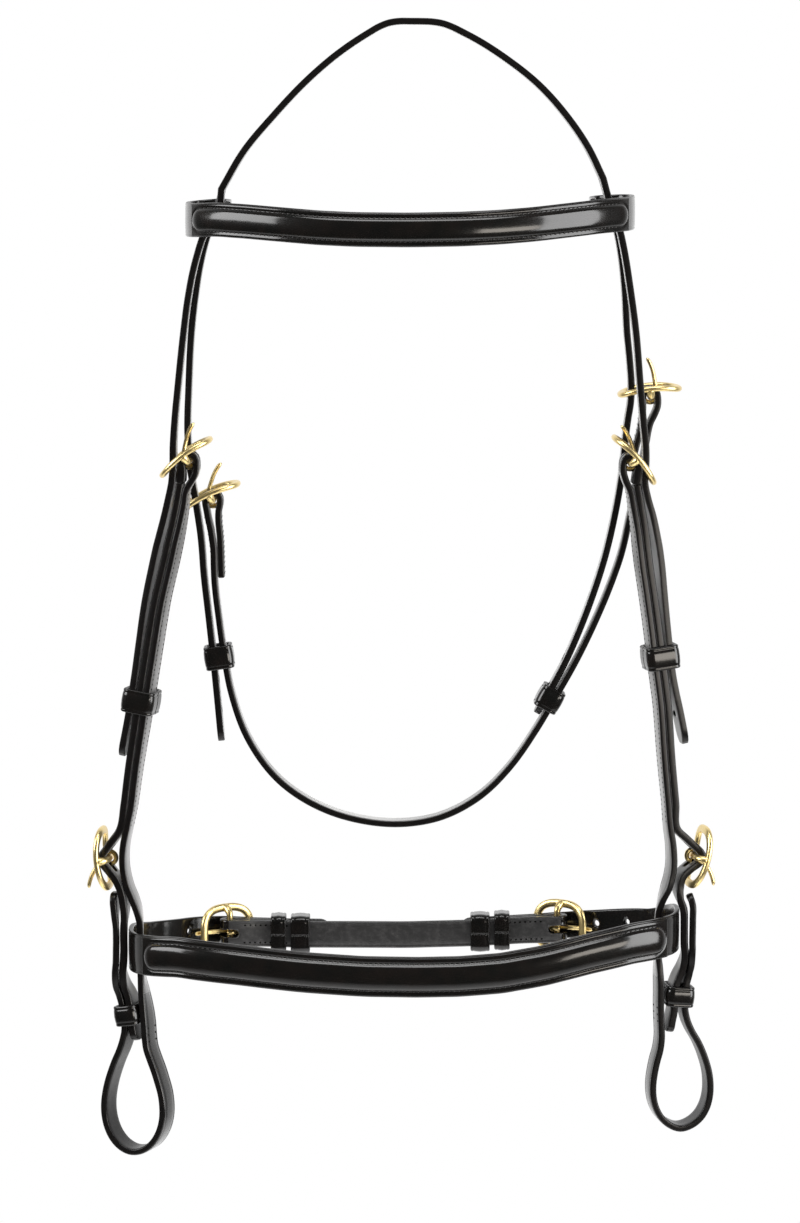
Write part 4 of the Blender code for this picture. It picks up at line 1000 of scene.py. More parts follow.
def leg_points(side, flat, lane, target, start_z):
    """A leg of the headpiece in space: it eases from its lane of the crown to its own plane."""
    placed, across = side.place(flat)
    ease = np.clip((flat[:, 1] - start_z) / (LEG_SETTLED_Z - start_z), 0, 1)
    ease = ease * ease * (3 - 2 * ease)
    placed[:, 1] += lane + (target - lane) * ease - side.plane
    return placed, across


def cells(index):
    """The quads of a table of vertex numbers."""
    return np.stack([index[:-1, :-1], index[:-1, 1:], index[1:, 1:], index[1:, :-1]], axis=-1).reshape(-1, 4)


def headpiece_skin(name, looks, step):
    """The headpiece's middle sheet: the crown as a grid, and each leg going on from one lane of its last row.

    A lane's columns keep their share of the leg's width, which is drawn in to a round tip by an ellipse.
    """
    crown = spline(crown_line(), step)
    edge = CROWN_W / 2
    front = np.array([-edge, -edge + 1.6, (SLIT_FRONT - edge) / 2, SLIT_FRONT - 1.6, SLIT_FRONT])
    rear = np.array([SLIT_REAR, SLIT_REAR + 1.4, (SLIT_REAR + edge) / 2, edge - 1.4, edge])
    columns = np.concatenate([front, rear])
    wide = len(columns)
    sheet = np.stack(np.broadcast_arrays(crown[:, :1], columns, crown[:, 1:]), axis=-1)
    points = [sheet.reshape(-1, 3)]
    index = np.arange(len(crown) * wide).reshape(-1, wide)
    faces, legs, count = [cells(index)], [], len(crown) * wide
    for data in (LEFT, RIGHT):
        row = 0 if data["sign"] < 0 else len(crown) - 1
        end = crown[row]
        for kind, lane, first in (("billet", front, 0), ("throat_billet", rear, 5)):
            cheek = kind == "billet"
            side = (SIDES if cheek else THROAT_SIDES)[data["label"]]
            width = CHEEK_W if cheek else THROAT_W
            flat = spline(spline([(abs(end[0]), end[1])] + data[kind], 9.0), step)[1:]
            middle, target = lane.mean(), CHEEK_Y if cheek else THROAT_Y
            placed, across = leg_points(side, flat, middle, target, end[1])
            run = running(placed)
            near = np.clip(1 - (run[-1] - run) / BILLET_TIP, 0, 1)
            share = (lane - middle) / width
            wide_here = width * np.sqrt(1 - (LEG_TIP_DRAW * near) ** 2)
            leg = placed[:, None] + across[:, None] * (wide_here[:, None] * share)[:, :, None]
            table = count + np.arange(leg.shape[0] * 5).reshape(-1, 5)
            faces.append(cells(np.concatenate([index[row : row + 1, first : first + 5], table])))
            points.append(leg.reshape(-1, 3))
            count += len(points[-1])
            legs.append((placed, across, CHEEK_HOLES if cheek else THROAT_HOLES))
    faces = np.concatenate(faces)
    made = build_mesh(name, np.concatenate(points), faces, looks, np.full(len(faces), GRAIN))
    even_normals(made)
    return made, legs


def even_normals(made):
    """Turns an open sheet's faces the same way, with the topmost one upward."""
    shape = bmesh.new()
    shape.from_mesh(made.data)
    bmesh.ops.recalc_face_normals(shape, faces=shape.faces)
    top = max(shape.faces, key=lambda face: face.calc_center_median().z)
    if top.normal.z < 0:
        bmesh.ops.reverse_faces(shape, faces=shape.faces)
    shape.to_mesh(made.data)
    shape.free()


def make_headpiece():
    """The sheet thickened to both sides, its edges rounded, and its billet holes cut."""
    looks = strap_looks()
    made, legs = headpiece_skin("headpiece-dressed", looks, 1.8)
    solid = made.modifiers.new("thickness", "SOLIDIFY")
    solid.thickness = STRAP_T * MM
    solid.offset = 0.0
    solid.use_even_offset = True
    solid.material_offset = 1
    solid.material_offset_rim = -1
    edge = made.modifiers.new("rounded edges", "BEVEL")
    edge.width = sizes_of("leather").edge_round
    edge.segments = 3
    edge.limit_method = "ANGLE"
    edge.angle_limit = math.radians(50)
    cutters = []
    for number, (placed, across, distances) in enumerate(legs):
        run, ways = running(placed), tangents(placed)
        for k, distance in enumerate(distances):
            spot, way, side = (sampled(run[-1] - distance, run, v) for v in (placed, ways, across))
            way, side = unit(way), unit(side)
            cutters.append(punch(f"punch_{number}_{k}", spot, way, np.cross(way, side)))
    cut(made, cutters)
    stands_for(made, "leather", "headpiece")


# Cheeks, throatlatch and jaw strap


def cheek_ribbons(data):
    """A side's cheek strap, whose turned-down tail is plumped to meet its leg, and the facing."""
    side = SIDES[data["label"]]
    outward = (data["sign"], 0, 0)
    main, outer, lower = cheek_lines(data)
    from_tail = running(main)
    plump = STRAP_T + TAIL_PLUMP * np.clip((TAIL_LENGTH - 1.0 - from_tail) / TAIL_PLUMP_EASE, 0, 1)
    strap = flat_ribbon(side, main, CHEEK_W, 0.0, outward, plump, tip_end=5.0, start_round=BUTT_ROUND)
    beside = facing_line(data, outer, lower)
    facing = flat_ribbon(
        side, beside, CHEEK_W, 0.1, outward, STRAP_T + FACING_PLUMP, tip_end=4.0, start_round=BUTT_ROUND
    )
    return strap, facing


def make_cheeks():
    """Each cheek strap and facing, slotted for the tongue at its bar."""
    looks = strap_looks()
    for data in (LEFT, RIGHT):
        label = data["label"]
        side = SIDES[label]
        strap, facing = cheek_ribbons(data)
        inside = inner_run(data, strap)
        made = strap_piece(f"cheek_strap_{label}-dressed", strap, looks, inside=inside, back=EDGE)
        cut(made, [tongue_slot("slot", side.frame(data["cheek_bar"], (0.0, 1.0)))])
        stands_for(made, "leather", f"cheek_strap_{label}")
        made = strap_piece(f"cheek_facing_{label}-dressed", facing, looks)
        cut(made, [tongue_slot("slot", side.frame(data["bit_bar"], (1.0, 0.0)))])
        stands_for(made, "leather", f"cheek_facing_{label}")


def inner_run(data, strap):
    """The stretch of the cheek strap that lies inside the facing, from the top fold to the bit keeper."""
    top = strap.where(2, data["cheek_bar"][1] - 4.0, 20.0, 120.0)
    low = strap.where(2, data["bit_keeper_z"] + BIT_KEEPER_L, top, strap.length * LOWER_PART)
    return top, low


def throat_ribbon():
    """The throatlatch, its width square to its own plane across the head."""
    path = throat_line()
    across = np.tile([0.0, 1.0, 0.0], (len(path), 1))
    return Ribbon(path, across, THROAT_W, STRAP_T, facing_sign(path, across, 0.5, (0, 0, -1)))


def make_throatlatch():
    """The throatlatch, slotted for both tongues."""
    made = strap_piece("throatlatch-dressed", throat_ribbon(), strap_looks())
    frames = [THROAT_SIDES[data["label"]].frame(data["throat_bar"], (0.0, 1.0)) for data in (LEFT, RIGHT)]
    cut(made, [tongue_slot(f"slot_{k}", at) for k, at in enumerate(frames)])
    stands_for(made, "leather", "throatlatch")


def rear_frame(label, lean_deg=0.0):
    """The frame of a rear bar: along points to that side's cheek, leaned forward by the angle."""
    sign = -1.0 if label == "left" else 1.0
    x, y = REAR_BAR[label]
    cheekward, out = np.array([sign, 0.0, 0.0]), np.array([0.0, 1.0, 0.0])
    lean = math.radians(lean_deg)
    along = cheekward * math.cos(lean) - out * math.sin(lean)
    return basis(np.array([x, y, float(jaw_z(x))]), along, out * math.cos(lean) + cheekward * math.sin(lean))


def make_jaw_strap():
    """The jaw strap on edge, slotted for both tongues, its flesh side out between the turned ends."""
    line = upright_ribbon(jaw_line(), NOSE_BILLET_W, STRAP_T, 0.5, (0, -1, 0))
    inside = (JAW_TURNED, line.length - JAW_TURNED)
    made = strap_piece("jaw_strap-dressed", line, strap_looks(), inside=inside)
    cut(made, [tongue_slot(f"slot_{label}", rear_frame(label)) for label in ("left", "right")])
    stands_for(made, "leather", "jaw_strap")


# Bands

# Distances from an edge at which its rounding is sampled
ROUND_STEPS = np.array([0.0, 0.1, 0.35, 0.75, 1.2])


def ridge(away, v, half, bump, sizes):
    """How high a raised band stands at a distance from its end and from its middle line.

    Inside a line with round ends it is a dome, bump times (1 - rho^p)^q with rho the share of the way to that
    line. On the line lies the stitched groove, a narrow bell below the flat edge.
    """
    foot = FOOT_SHARE * half
    back = np.clip((END_MARGIN + foot - away) / foot, 0, None)[:, None]
    rho = np.hypot(v[None, :] / foot, back)
    dome = bump * np.clip(1 - rho**DOME_SIDE_POWER, 0, 1) ** DOME_POWER
    groove = mm(sizes.groove_depth) * np.exp(-(((rho - 1.0) * foot / mm(sizes.groove_width)) ** 2))
    return dome, groove


def edge_drop(from_edge):
    """How far a cover's skin drops near its edge, as a quarter of an oval."""
    near = 1 - np.clip(from_edge / COVER_EDGE_R, 0, 1)
    return COVER_EDGE_DROP * (1 - np.sqrt(np.clip(1 - near**2, 0, 1)))


def cover_rings(path, outward, base_t, width, bump, sizes):
    """Rings round a raised cover: its domed skin out and its underside back, a constant thickness apart."""
    run = running(path)
    away = np.minimum(run, run[-1] - run)
    half = width / 2
    edge = ROUND_STEPS
    inner = np.linspace(-half + 1.7, half - 1.7, 45)
    v = np.concatenate([-half + edge, inner, half - edge[::-1]])
    dome, groove = ridge(away, v, half, bump, sizes)
    drop, end_drop = edge_drop(np.minimum(v + half, half - v)), edge_drop(away)
    low = base_t / 2 + LAYER_GAP
    skin = low + COVER_T + dome - groove - np.maximum(drop[None], end_drop[:, None])
    under_v = inner[::-3]
    under = low + np.maximum(ridge(away, under_v, half, bump, sizes)[0] - 0.1, 0)
    columns = np.concatenate([v, under_v])
    lift = np.concatenate([skin, under], axis=1)
    rings = path[:, None] + UP * columns[None, :, None] + outward[:, None] * lift[:, :, None]
    uv = np.stack(np.broadcast_arrays(columns[None, :], run[:, None]), axis=-1)
    kinds = np.full((len(path) - 1, len(columns)), GRAIN)
    kinds[:, len(v) - 1 :] = FLESH
    kinds[:, :2] = EDGE
    kinds[:, len(v) - 3 : len(v)] = EDGE
    return rings, uv, kinds.ravel()


def filler_rings(path, outward, base_t, width, bump, sizes):
    """Rings round the pad under a cover: the same dome, a little lower, on a flat bottom."""
    run = running(path)
    away = np.minimum(run, run[-1] - run)
    half = width / 2
    v = np.linspace(-0.6, 0.6, 25) * half
    low = base_t / 2 + LAYER_GAP
    top = low + np.maximum(ridge(away, v, half, bump, sizes)[0] - FILLER_SINK, 0.12)
    bottom = np.broadcast_to(low + 0.04, (len(path), 13))
    columns = np.concatenate([v, v[::-2]])
    lift = np.concatenate([top, bottom], axis=1)
    return path[:, None] + UP * columns[None, :, None] + outward[:, None] * lift[:, :, None]


def make_raised(name, line, centre, base_t, width, bump):
    """The cover and the filler of a band."""
    sizes = sizes_of("leather")
    width = width - COVER_INSET
    length = running(line)[-1]
    s = np.concatenate([ROUND_STEPS, np.arange(1.7, 14.0, 0.5), np.arange(14.0, length / 2, 1.4)])
    path = cubic(line, np.concatenate([s, [length / 2], length - s[::-1]]))
    outward = plan_outward(path, centre)
    rings, uv, kinds = cover_rings(path, outward, base_t, width, bump, sizes)
    cover = tube_mesh(f"{name}_raised-dressed", rings, strap_looks(), kinds, uv)
    stands_for(cover, "leather", f"{name}_raised")
    inside = slice(14, -14)
    rings = filler_rings(path[inside], outward[inside], base_t, width, bump, sizes)
    filler = tube_mesh(f"{name}_filler-dressed", rings, [felt_look()])
    stands_for(filler, "felt", f"{name}_filler")


def groove_rows(line, centre, base_t, width, sizes):
    """The rows of stitches in a cover's grooves, and the same rows where they come out behind the base."""
    width = width - COVER_INSET
    length = running(line)[-1]
    count = int(round((length - 2 * GROOVE_ROW_END) / mm(sizes.pitch)))
    s = np.linspace(GROOVE_ROW_END, length - GROOVE_ROW_END, count)
    spot = cubic(line, s)
    out, way = plan_outward(spot, centre), unit(np.gradient(spot, axis=0))
    rows = []
    for v in (-1, 1):
        at = UP * (v * FOOT_SHARE * width / 2)
        front = base_t / 2 + LAYER_GAP + COVER_T - GROOVE_BED
        rows.append((spot + at + out * front, way, np.cross(out, way), out))
        rows.append((spot + at - out * base_t / 2, way, np.cross(-out, way), -out))
    return rows


def make_browband():
    """The browband's base with its end loops, and what is raised on it."""
    line, raised = browband_lines()
    base = upright_ribbon(line, BROW_W, BROW_BASE_T, 0.5, (0, -1, 0), rounding=BAND_ROUND)
    made = strap_piece("browband_base-dressed", base, strap_looks(), back=GRAIN)
    stands_for(made, "leather", "browband_base")
    make_raised("browband", raised, (0, 0, 0), BROW_BASE_T, BROW_W, BROW_BUMP)


def nose_front():
    """The stretch of the noseband's ring that is raised, from cheek to cheek round the front."""
    return even_run(ring_point(np.linspace(180 + 24, 360 - 23, 240)), 7.5)


def noseband_ribbon():
    """The noseband's base on edge, narrowing to its billets behind the cheeks."""
    path = noseband_line()
    width = NOSE_W + (NOSE_BILLET_W - NOSE_W) * np.clip((path[:, 1] - 8.0) / 26.0, 0, 1)
    tips = {"tip_start": 6.0, "tip_end": 6.0, "rounding": BAND_ROUND}
    return upright_ribbon(path, width, NOSE_BASE_T, 0.5, (0, -1, 0), **tips)


def make_noseband():
    """The noseband's base with the holes of its billets, and what is raised on it."""
    base = noseband_ribbon()
    made = strap_piece("noseband_base-dressed", base, strap_looks(), back=GRAIN)
    punched(made, base, NOSE_HOLES_RIGHT)
    punched(made, base, NOSE_HOLES_LEFT, from_end=False)
    stands_for(made, "leather", "noseband_base")
    make_raised("noseband", nose_front(), NOSE_CENTRE, NOSE_BASE_T, NOSE_W, NOSE_BUMP)


# Buckles


def swept(path, normal, half_u, half_n, sides, closed=False, power=CORNER_POWER):
    """Rings round a path, a rounded oval in section: half_n along the normal and half_u across it."""
    way = unit(np.roll(path, -1, axis=0) - np.roll(path, 1, axis=0)) if closed else tangents(path)
    side = unit(np.cross(way, normal))
    up = np.cross(side, way)
    c, s = oval(full_turn(sides), power)
    hu = np.broadcast_to(half_u, (len(path),))[:, None, None]
    hn = np.broadcast_to(half_n, (len(path),))[:, None, None]
    return path[:, None] + side[:, None] * c[None, :, None] * hu + up[:, None] * s[None, :, None] * hn


def make_frame(name, at, sizes):
    """A whole buckle: an oval rail, and a straight bar from rail to rail that swells where it meets them.

    The oval is |u/a|^2.9 + |w/b|^2.9 = 1, lifted along its long sides by a parabola.
    """
    a, b = FRAME_L / 2 - RAIL_U / 2, FRAME_W / 2 - RAIL_U / 2
    c, s = oval(full_turn(sizes.frame_stations), FRAME_POWER)
    u, w = a * c, b * s
    lift = END_LIFT + (SIDE_LIFT - END_LIFT) * (1 - (u / a) ** 2)
    ring = closed_even(np.stack([u, w, lift], axis=1), len(u))
    rail = from_frame(at, swept(ring, OUTWARD, RAIL_U / 2, RAIL_N / 2, sizes.frame_sides, True))
    half = [[b, 4.2], [b - 0.6, 2.6], [b - 1.9, 0.9], [b - 3.6, 0.0], [b - 5.2, 0.0]]
    line = spline(half + [[-v, n] for v, n in half[::-1]], 0.6)
    near_rail = np.clip((np.abs(line[:, 0]) - (b - BAR_SWELL_L)) / BAR_SWELL_L, 0, 1)
    swell = BAR_R + BAR_SWELL * near_rail**1.5
    bar = np.stack([0 * line[:, 0], line[:, 0], line[:, 1]], axis=1)
    rod = from_frame(at, swept(bar, ALONG, swell, swell, BAR_SIDES, power=1.0))
    looks = [brass_look()]
    parts = [tube_mesh(name, rail, looks, closed=True), tube_mesh(name + "-bar", rod, looks)]
    return join(name, parts)


def closed_even(ring, count):
    """A closed line sampled again at equal steps along itself."""
    loop = np.concatenate([ring, ring[:1]])
    run = running(loop)
    return sampled(np.linspace(0, run[-1], count, endpoint=False), run, loop)


def make_tongue(name, at, length, sizes):
    """A tongue: wire turned round the bar, a little wider than thick, and a shank to a tip bent down."""
    root = arc((0, 0), TONGUE_RING, -50, -270, 26)
    bend = [(0.0, TONGUE_RING), (length * 0.35, TONGUE_RING + 0.2), (length * 0.75, TONGUE_RING - 0.4)]
    shank = spline(bend + [(length - 1.2, TONGUE_TIP_DROP + 0.7), (length, TONGUE_TIP_DROP)], 0.5)
    flat = joined(root, shank)
    run = running(flat)
    tip = np.clip((run[-1] - run) / TONGUE_TIP, 0, 1)
    thick = TONGUE_R * np.sqrt(np.clip(1 - (1 - tip) ** 2, 0.04, 1)) * (1 - TONGUE_TAPER * run / run[-1])
    path = np.stack([flat[:, 0], 0 * flat[:, 0], flat[:, 1]], axis=1)
    rings = swept(path, ACROSS, thick, thick * TONGUE_FLAT, sizes.tongue_sides, power=1.0)
    return tube_mesh(name, from_frame(at, rings), [brass_look()])


def buckle_places():
    """Each buckle's name, with the frames of its oval frame and of its tongue, and the tongue's length."""
    for data in (LEFT, RIGHT):
        label = data["label"]
        for kind, side in (("cheek", SIDES[label]), ("bit", SIDES[label]), ("throat", THROAT_SIDES[label])):
            bar, lean, tongue = data[f"{kind}_bar"], data[f"{kind}_lean"], data[f"{kind}_tongue"]
            yield kind, label, side.frame(bar, lean), side.frame(bar, tongue), TONGUE_L
    for label in ("left", "right"):
        frame_at, tongue_at = rear_frame(label, REAR_FRAME_LEAN), rear_frame(label, REAR_TONGUE_LEAN)
        yield "noseband", label, frame_at, tongue_at, JAW_TONGUE_L


# Keepers


def keeper_loop(thick, wide, play):
    """A keeper's middle line, a rounded rectangle in (across, outward), with the outward way at each point.

    It also gives each point's distance from the butt seam in the middle of the low side, where samples lie
    close to hold its groove, and its distance along the line.
    """
    h, v = thick / 2 + play + KEEPER_T / 2, wide / 2 + play + KEEPER_T / 2
    r = KEEPER_CORNER
    turns = [(v - r, h - r, 0), (-(v - r), h - r, 90), (-(v - r), -(h - r), 180), (v - r, -(h - r), 270)]
    loop = np.concatenate([arc((cx, cy), r, start, start + 90, 8) for cx, cy, start in turns])
    loop = np.concatenate([loop, loop[:1]])
    run = running(loop)
    low = np.flatnonzero(np.abs(loop[:-1, 1] + h) + np.abs(loop[1:, 1] + h) < 0.1)
    start = run[low[np.argmax(np.diff(run)[low])]]
    seam = start + np.diff(run)[low].max() / 2
    fine = seam + np.array([-1.2, -0.7, -0.4, -0.2, 0.0, 0.2, 0.4, 0.7, 1.2])
    s = np.unique(np.concatenate([np.arange(0, run[-1], 0.7), run[:-1], fine]))
    s = s[np.concatenate([[True], np.diff(s) > 0.05])]
    path = sampled(s, run, loop)
    way = unit(np.roll(path, -1, axis=0) - np.roll(path, 1, axis=0))
    return path, np.stack([way[:, 1], -way[:, 0]], axis=1), np.abs(s - seam), s


def make_keeper(name, at, thick, wide, length, play):
    """A band closed round the straps, butted and sewn across behind them, with a crease by each edge."""
    path, out, from_seam, run = keeper_loop(thick, wide, play)
    half, t, r = length / 2, KEEPER_T / 2, KEEPER_EDGE
    turn = np.radians([0, 30, 60, 90])
    quarter = [(half - r + r * math.cos(a), t - r + r * math.sin(a)) for a in turn]
    pressed = ((0.35, 0), (0, KEEPER_CREASE_DROP), (-0.35, -0.05), (-1.6, -0.22))
    crease = [(half - KEEPER_CREASE + d, t - drop) for d, drop in pressed]
    top = quarter + crease + [(0.0, t + KEEPER_DOME)] + [(-x, n) for x, n in (quarter + crease)[::-1]]
    bottom = [(-x, -n) for x, n in quarter] + [(0.0, -t)] + [(x, -n) for x, n in quarter[::-1]]
    section = np.array(top + bottom)
    dip = SEAM_DIP * np.exp(-((from_seam / SEAM_HALF) ** 2))
    n = section[None, :, 1] - dip[:, None] * (section[None, :, 1] > 0)
    flat = np.zeros((len(path), len(section), 3))
    flat[:, :, 0] = section[None, :, 0]
    flat[:, :, 1:] = path[:, None] + out[:, None] * n[:, :, None]
    kinds = np.where(section[:, 1] > t * 0.7, GRAIN, np.where(section[:, 1] < -t * 0.7, FLESH, EDGE))
    kinds = np.broadcast_to(kinds, (len(path), len(section))).ravel()
    uv = np.stack(np.broadcast_arrays(section[None, :, 0], run[:, None]), axis=-1)
    band = tube_mesh(name, from_frame(at, flat), strap_looks(), kinds, uv, closed=True)
    sizes = sizes_of("stitches")
    count = max(3, int(round((length - 3.0) / SEAM_STITCH)))
    x = np.linspace(-half + 1.9, half - 1.9, count)
    low = -(thick / 2 + play + KEEPER_T)
    spots = from_frame(at, np.stack([x, 0 * x, 0 * x + low], axis=1))
    spread = lambda v: np.broadcast_to(v, (count, 3))
    lean = unit(at[2] + SEAM_LEAN * at[1])
    row = (spots, spread(lean), spread(np.cross(-at[3], lean)), spread(-at[3]))
    seam = stitch_rows(name + "-seam", [row], thread_look(), sizes, longer=SEAM_LONGER)
    return join(name, [band, seam])


def keeper_places():
    """Each keeper's name with its frame, the stack it holds, its length and its play."""
    for data in (LEFT, RIGHT):
        label, side = data["label"], SIDES[data["label"]]
        centre, z = data["centre"], data["keeper_z"]
        inner, outer = at_height(centre, z) - PITCH / 2, at_height(data["billet"], z)
        place = stack_place(side, inner, outer, z, slope_at(centre, z))
        yield f"cheek_keeper_{label}", *place, CHEEK_W, KEEPER_L, KEEPER_PLAY
        main, beside, lower = cheek_lines(data)
        facing = facing_line(data, beside, lower)
        low = facing[facing[:, 1] < data["bit_bar"][1] - FRAME_L / 2]
        z, bottom = data["bit_keeper_z"], int(np.argmin(main[:, 1]))
        inner, outer = at_height(low, z), at_height(main[bottom:], z)
        place = stack_place(side, inner, outer, z, slope_at(low, z))
        yield f"bit_keeper_{label}", *place, CHEEK_W, BIT_KEEPER_L, data["bit_keeper_play"]
    inner, z = THROAT_KEEPER_LEFT_AT
    outer = at_height(LEFT["throat_billet"], z)
    place = stack_place(THROAT_SIDES["left"], inner, outer, z, THROAT_KEEPER_LEFT_WAY)
    yield "throat_keeper_left", *place, THROAT_W, KEEPER_L, KEEPER_PLAY
    slope = unit(np.array(THROAT_KEEPER_RIGHT_WAY))
    middle = np.array(THROAT_KEEPER_RIGHT_AT) + np.array([-slope[1], slope[0]]) * 2.0
    at = THROAT_SIDES["right"].frame(middle, slope)
    yield "throat_keeper_right", at, PITCH + STRAP_T, THROAT_W, KEEPER_L, KEEPER_PLAY
    thick = PITCH + STRAP_T + NOSE_BASE_T + LAYER_GAP
    left_x, right_x = REAR_BAR["left"][0], REAR_BAR["right"][0]
    for name, x, length in (
        ("noseband_keeper_fixed_left", left_x + 25.5, FIXED_KEEPER_L),
        ("noseband_keeper_left", left_x + 37.0, JAW_KEEPER_L),
        ("noseband_keeper_fixed_right", right_x - 29.0, FIXED_KEEPER_L),
        ("noseband_keeper_right", right_x - 40.5, JAW_KEEPER_L),
    ):
        middle = np.array([x, JAW_MIDDLE_Y - STRAP_T / 2 + thick / 2, float(jaw_z(x))])
        at = basis(middle, np.array([1.0, 0, 0]), np.array([0, 1.0, 0]))
        yield name, at, thick, NOSE_BILLET_W, length, KEEPER_PLAY


def slope_at(line, z):
    """The way a (q, z) line runs at a height, taken over 5 mm up and down."""
    return (at_height(line, z + 5) - at_height(line, z - 5), 10.0)


def stack_place(side, inner, outer, z, slope):
    """The frame in the middle of a stack of straps, and the stack's thickness."""
    at = side.frame(((inner + outer) / 2, z), slope)
    return at, abs(outer - inner) * abs(unit(np.array(slope, float))[1]) + STRAP_T


# Stitching


def make_stitching():
    """The rows of stitches, one piece for each strap or band that carries them."""
    sizes = sizes_of("stitches")
    thread, bedded = thread_look(), bedded_thread_look()
    inset = mm(sizes.inset)
    for data in (LEFT, RIGHT):
        label = data["label"]
        strap, facing = cheek_ribbons(data)
        bar_z, mid = data["cheek_bar"][1], facing.length * 0.5
        leave_z, crotch_z = data["facing_leave"] + 4, data["bit_keeper_z"] - BIT_KEEPER_L / 2 - 1.0
        turned = facing.where(2, leave_z, 0, mid)
        sewn = facing.where(2, crotch_z, mid)
        top = strap.where(2, bar_z - TAIL_LENGTH - 4.0, 22.0, 140.0)
        leave = strap.where(2, leave_z, top, strap.length * 0.5)
        again = strap.where(2, crotch_z, leave, strap.length * LOWER_PART)
        runs = (
            (facing, ROW_MARGIN, turned),
            (facing, sewn, facing.length - ROW_MARGIN),
            (strap, top, leave),
            (strap, again, again + CROTCH_SEAM),
            (strap, 2.0, TAIL_LENGTH - 3.0),
        )
        rows = [row_on(line, a, b, edge, sizes) for edge in (-inset, inset) for line, a, b in runs]
        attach(stitch_rows(f"cheek_stitches_{label}", rows, bedded, sizes), "headstall")
    throat = throat_ribbon()
    end, (left_z, right_z) = throat.length, (data["throat_bar"][1] - 9.0 for data in (LEFT, RIGHT))
    tail, leg = throat.where(2, left_z, 0, 60), throat.where(2, left_z, 60, 160)
    right_tail = throat.where(2, right_z, end - 45, end)
    rows = []
    for edge in (-inset, inset):
        for start, stop in ((ROW_MARGIN, tail), (leg, THROAT_LEG_SEWN), (right_tail, end - ROW_MARGIN)):
            rows.append(row_on(throat, start, stop, edge, sizes))
    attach(stitch_rows("throatlatch_stitches", rows, bedded, sizes), "headstall")
    jaw = upright_ribbon(jaw_line(), NOSE_BILLET_W, STRAP_T, 0.5, (0, -1, 0))
    rows = []
    left_x, right_x = REAR_BAR["left"][0], REAR_BAR["right"][0]
    for edge in (-inset, inset):
        for from_x, to_x, start, stop in (
            (left_x + 8.0, left_x + 30.0, 0.0, 36.0),
            (left_x + 8.0, left_x + 30.0, JAW_TURNED, 90.0),
            (right_x - 30.0, right_x - 8.0, jaw.length - 90.0, jaw.length - JAW_TURNED),
            (right_x - 30.0, right_x - 8.0, jaw.length - 36.0, jaw.length),
        ):
            ends = jaw.where(0, from_x, start, stop), jaw.where(0, to_x, start, stop)
            rows.append(row_on(jaw, *ends, edge, sizes))
    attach(stitch_rows("jaw_strap_stitches", rows, bedded, sizes), "noseband")
    rows = groove_rows(nose_front(), NOSE_CENTRE, NOSE_BASE_T, NOSE_W, sizes)
    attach(stitch_rows("noseband_stitches", rows, thread, sizes), "noseband")
    _, raised = browband_lines()
    rows = groove_rows(raised, (0, 0, 0), BROW_BASE_T, BROW_W, sizes)
    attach(stitch_rows("browband_stitches", rows, thread, sizes), "browband")


# Materials


def mm(length):
    """A Blender length in millimetres."""
    return length / MM


def per_mm(size):
    """A pattern's Scale, from the real size of its features in millimetres."""
    return 1 / (size * MM)


def sizes_of(group):
    """The values of one of the panel's groups."""
    return getattr(bpy.context.scene, f"bridle_{group}")


def linear(colour):
    """A colour of sRGB shares in linear light, with full alpha."""
    c = np.asarray(colour, float)
    return (*np.where(c <= 0.04045, c / 12.92, ((c + 0.055) / 1.055) ** 2.4), 1.0)


def fill(made, inputs):
    """Gives each of a node's inputs its value, or links it to the output of another node."""
    for key, value in inputs.items():
        if isinstance(value, bpy.types.NodeSocket):
            made.id_data.links.new(value, made.inputs[key])
        else:
            made.inputs[key].default_value = value


def node(tree, kind, inputs, out=0, **settings):
    """Adds a node with its settings and links, and hands back one of its outputs, if it has any."""
    made = tree.nodes.new("ShaderNode" + kind)
    for key, value in settings.items():
        setattr(made, key, value)
    fill(made, inputs)
    return made.outputs[out] if len(made.outputs) else None


def start_look(name):
    """A new material, and its tree, surface shader and Object coordinates."""
    made = bpy.data.materials.new(name)
    made.use_nodes = True
    tree = made.node_tree
    return made, tree, tree.nodes["Principled BSDF"], node(tree, "TexCoord", {}, "Object")


LOOKS = {}


def once(make):
    """Makes a material the first time it is asked for, and hands out the same one after that."""

    def asked():
        if make.__name__ not in LOOKS:
            LOOKS[make.__name__] = make()
        return LOOKS[make.__name__]

    return asked


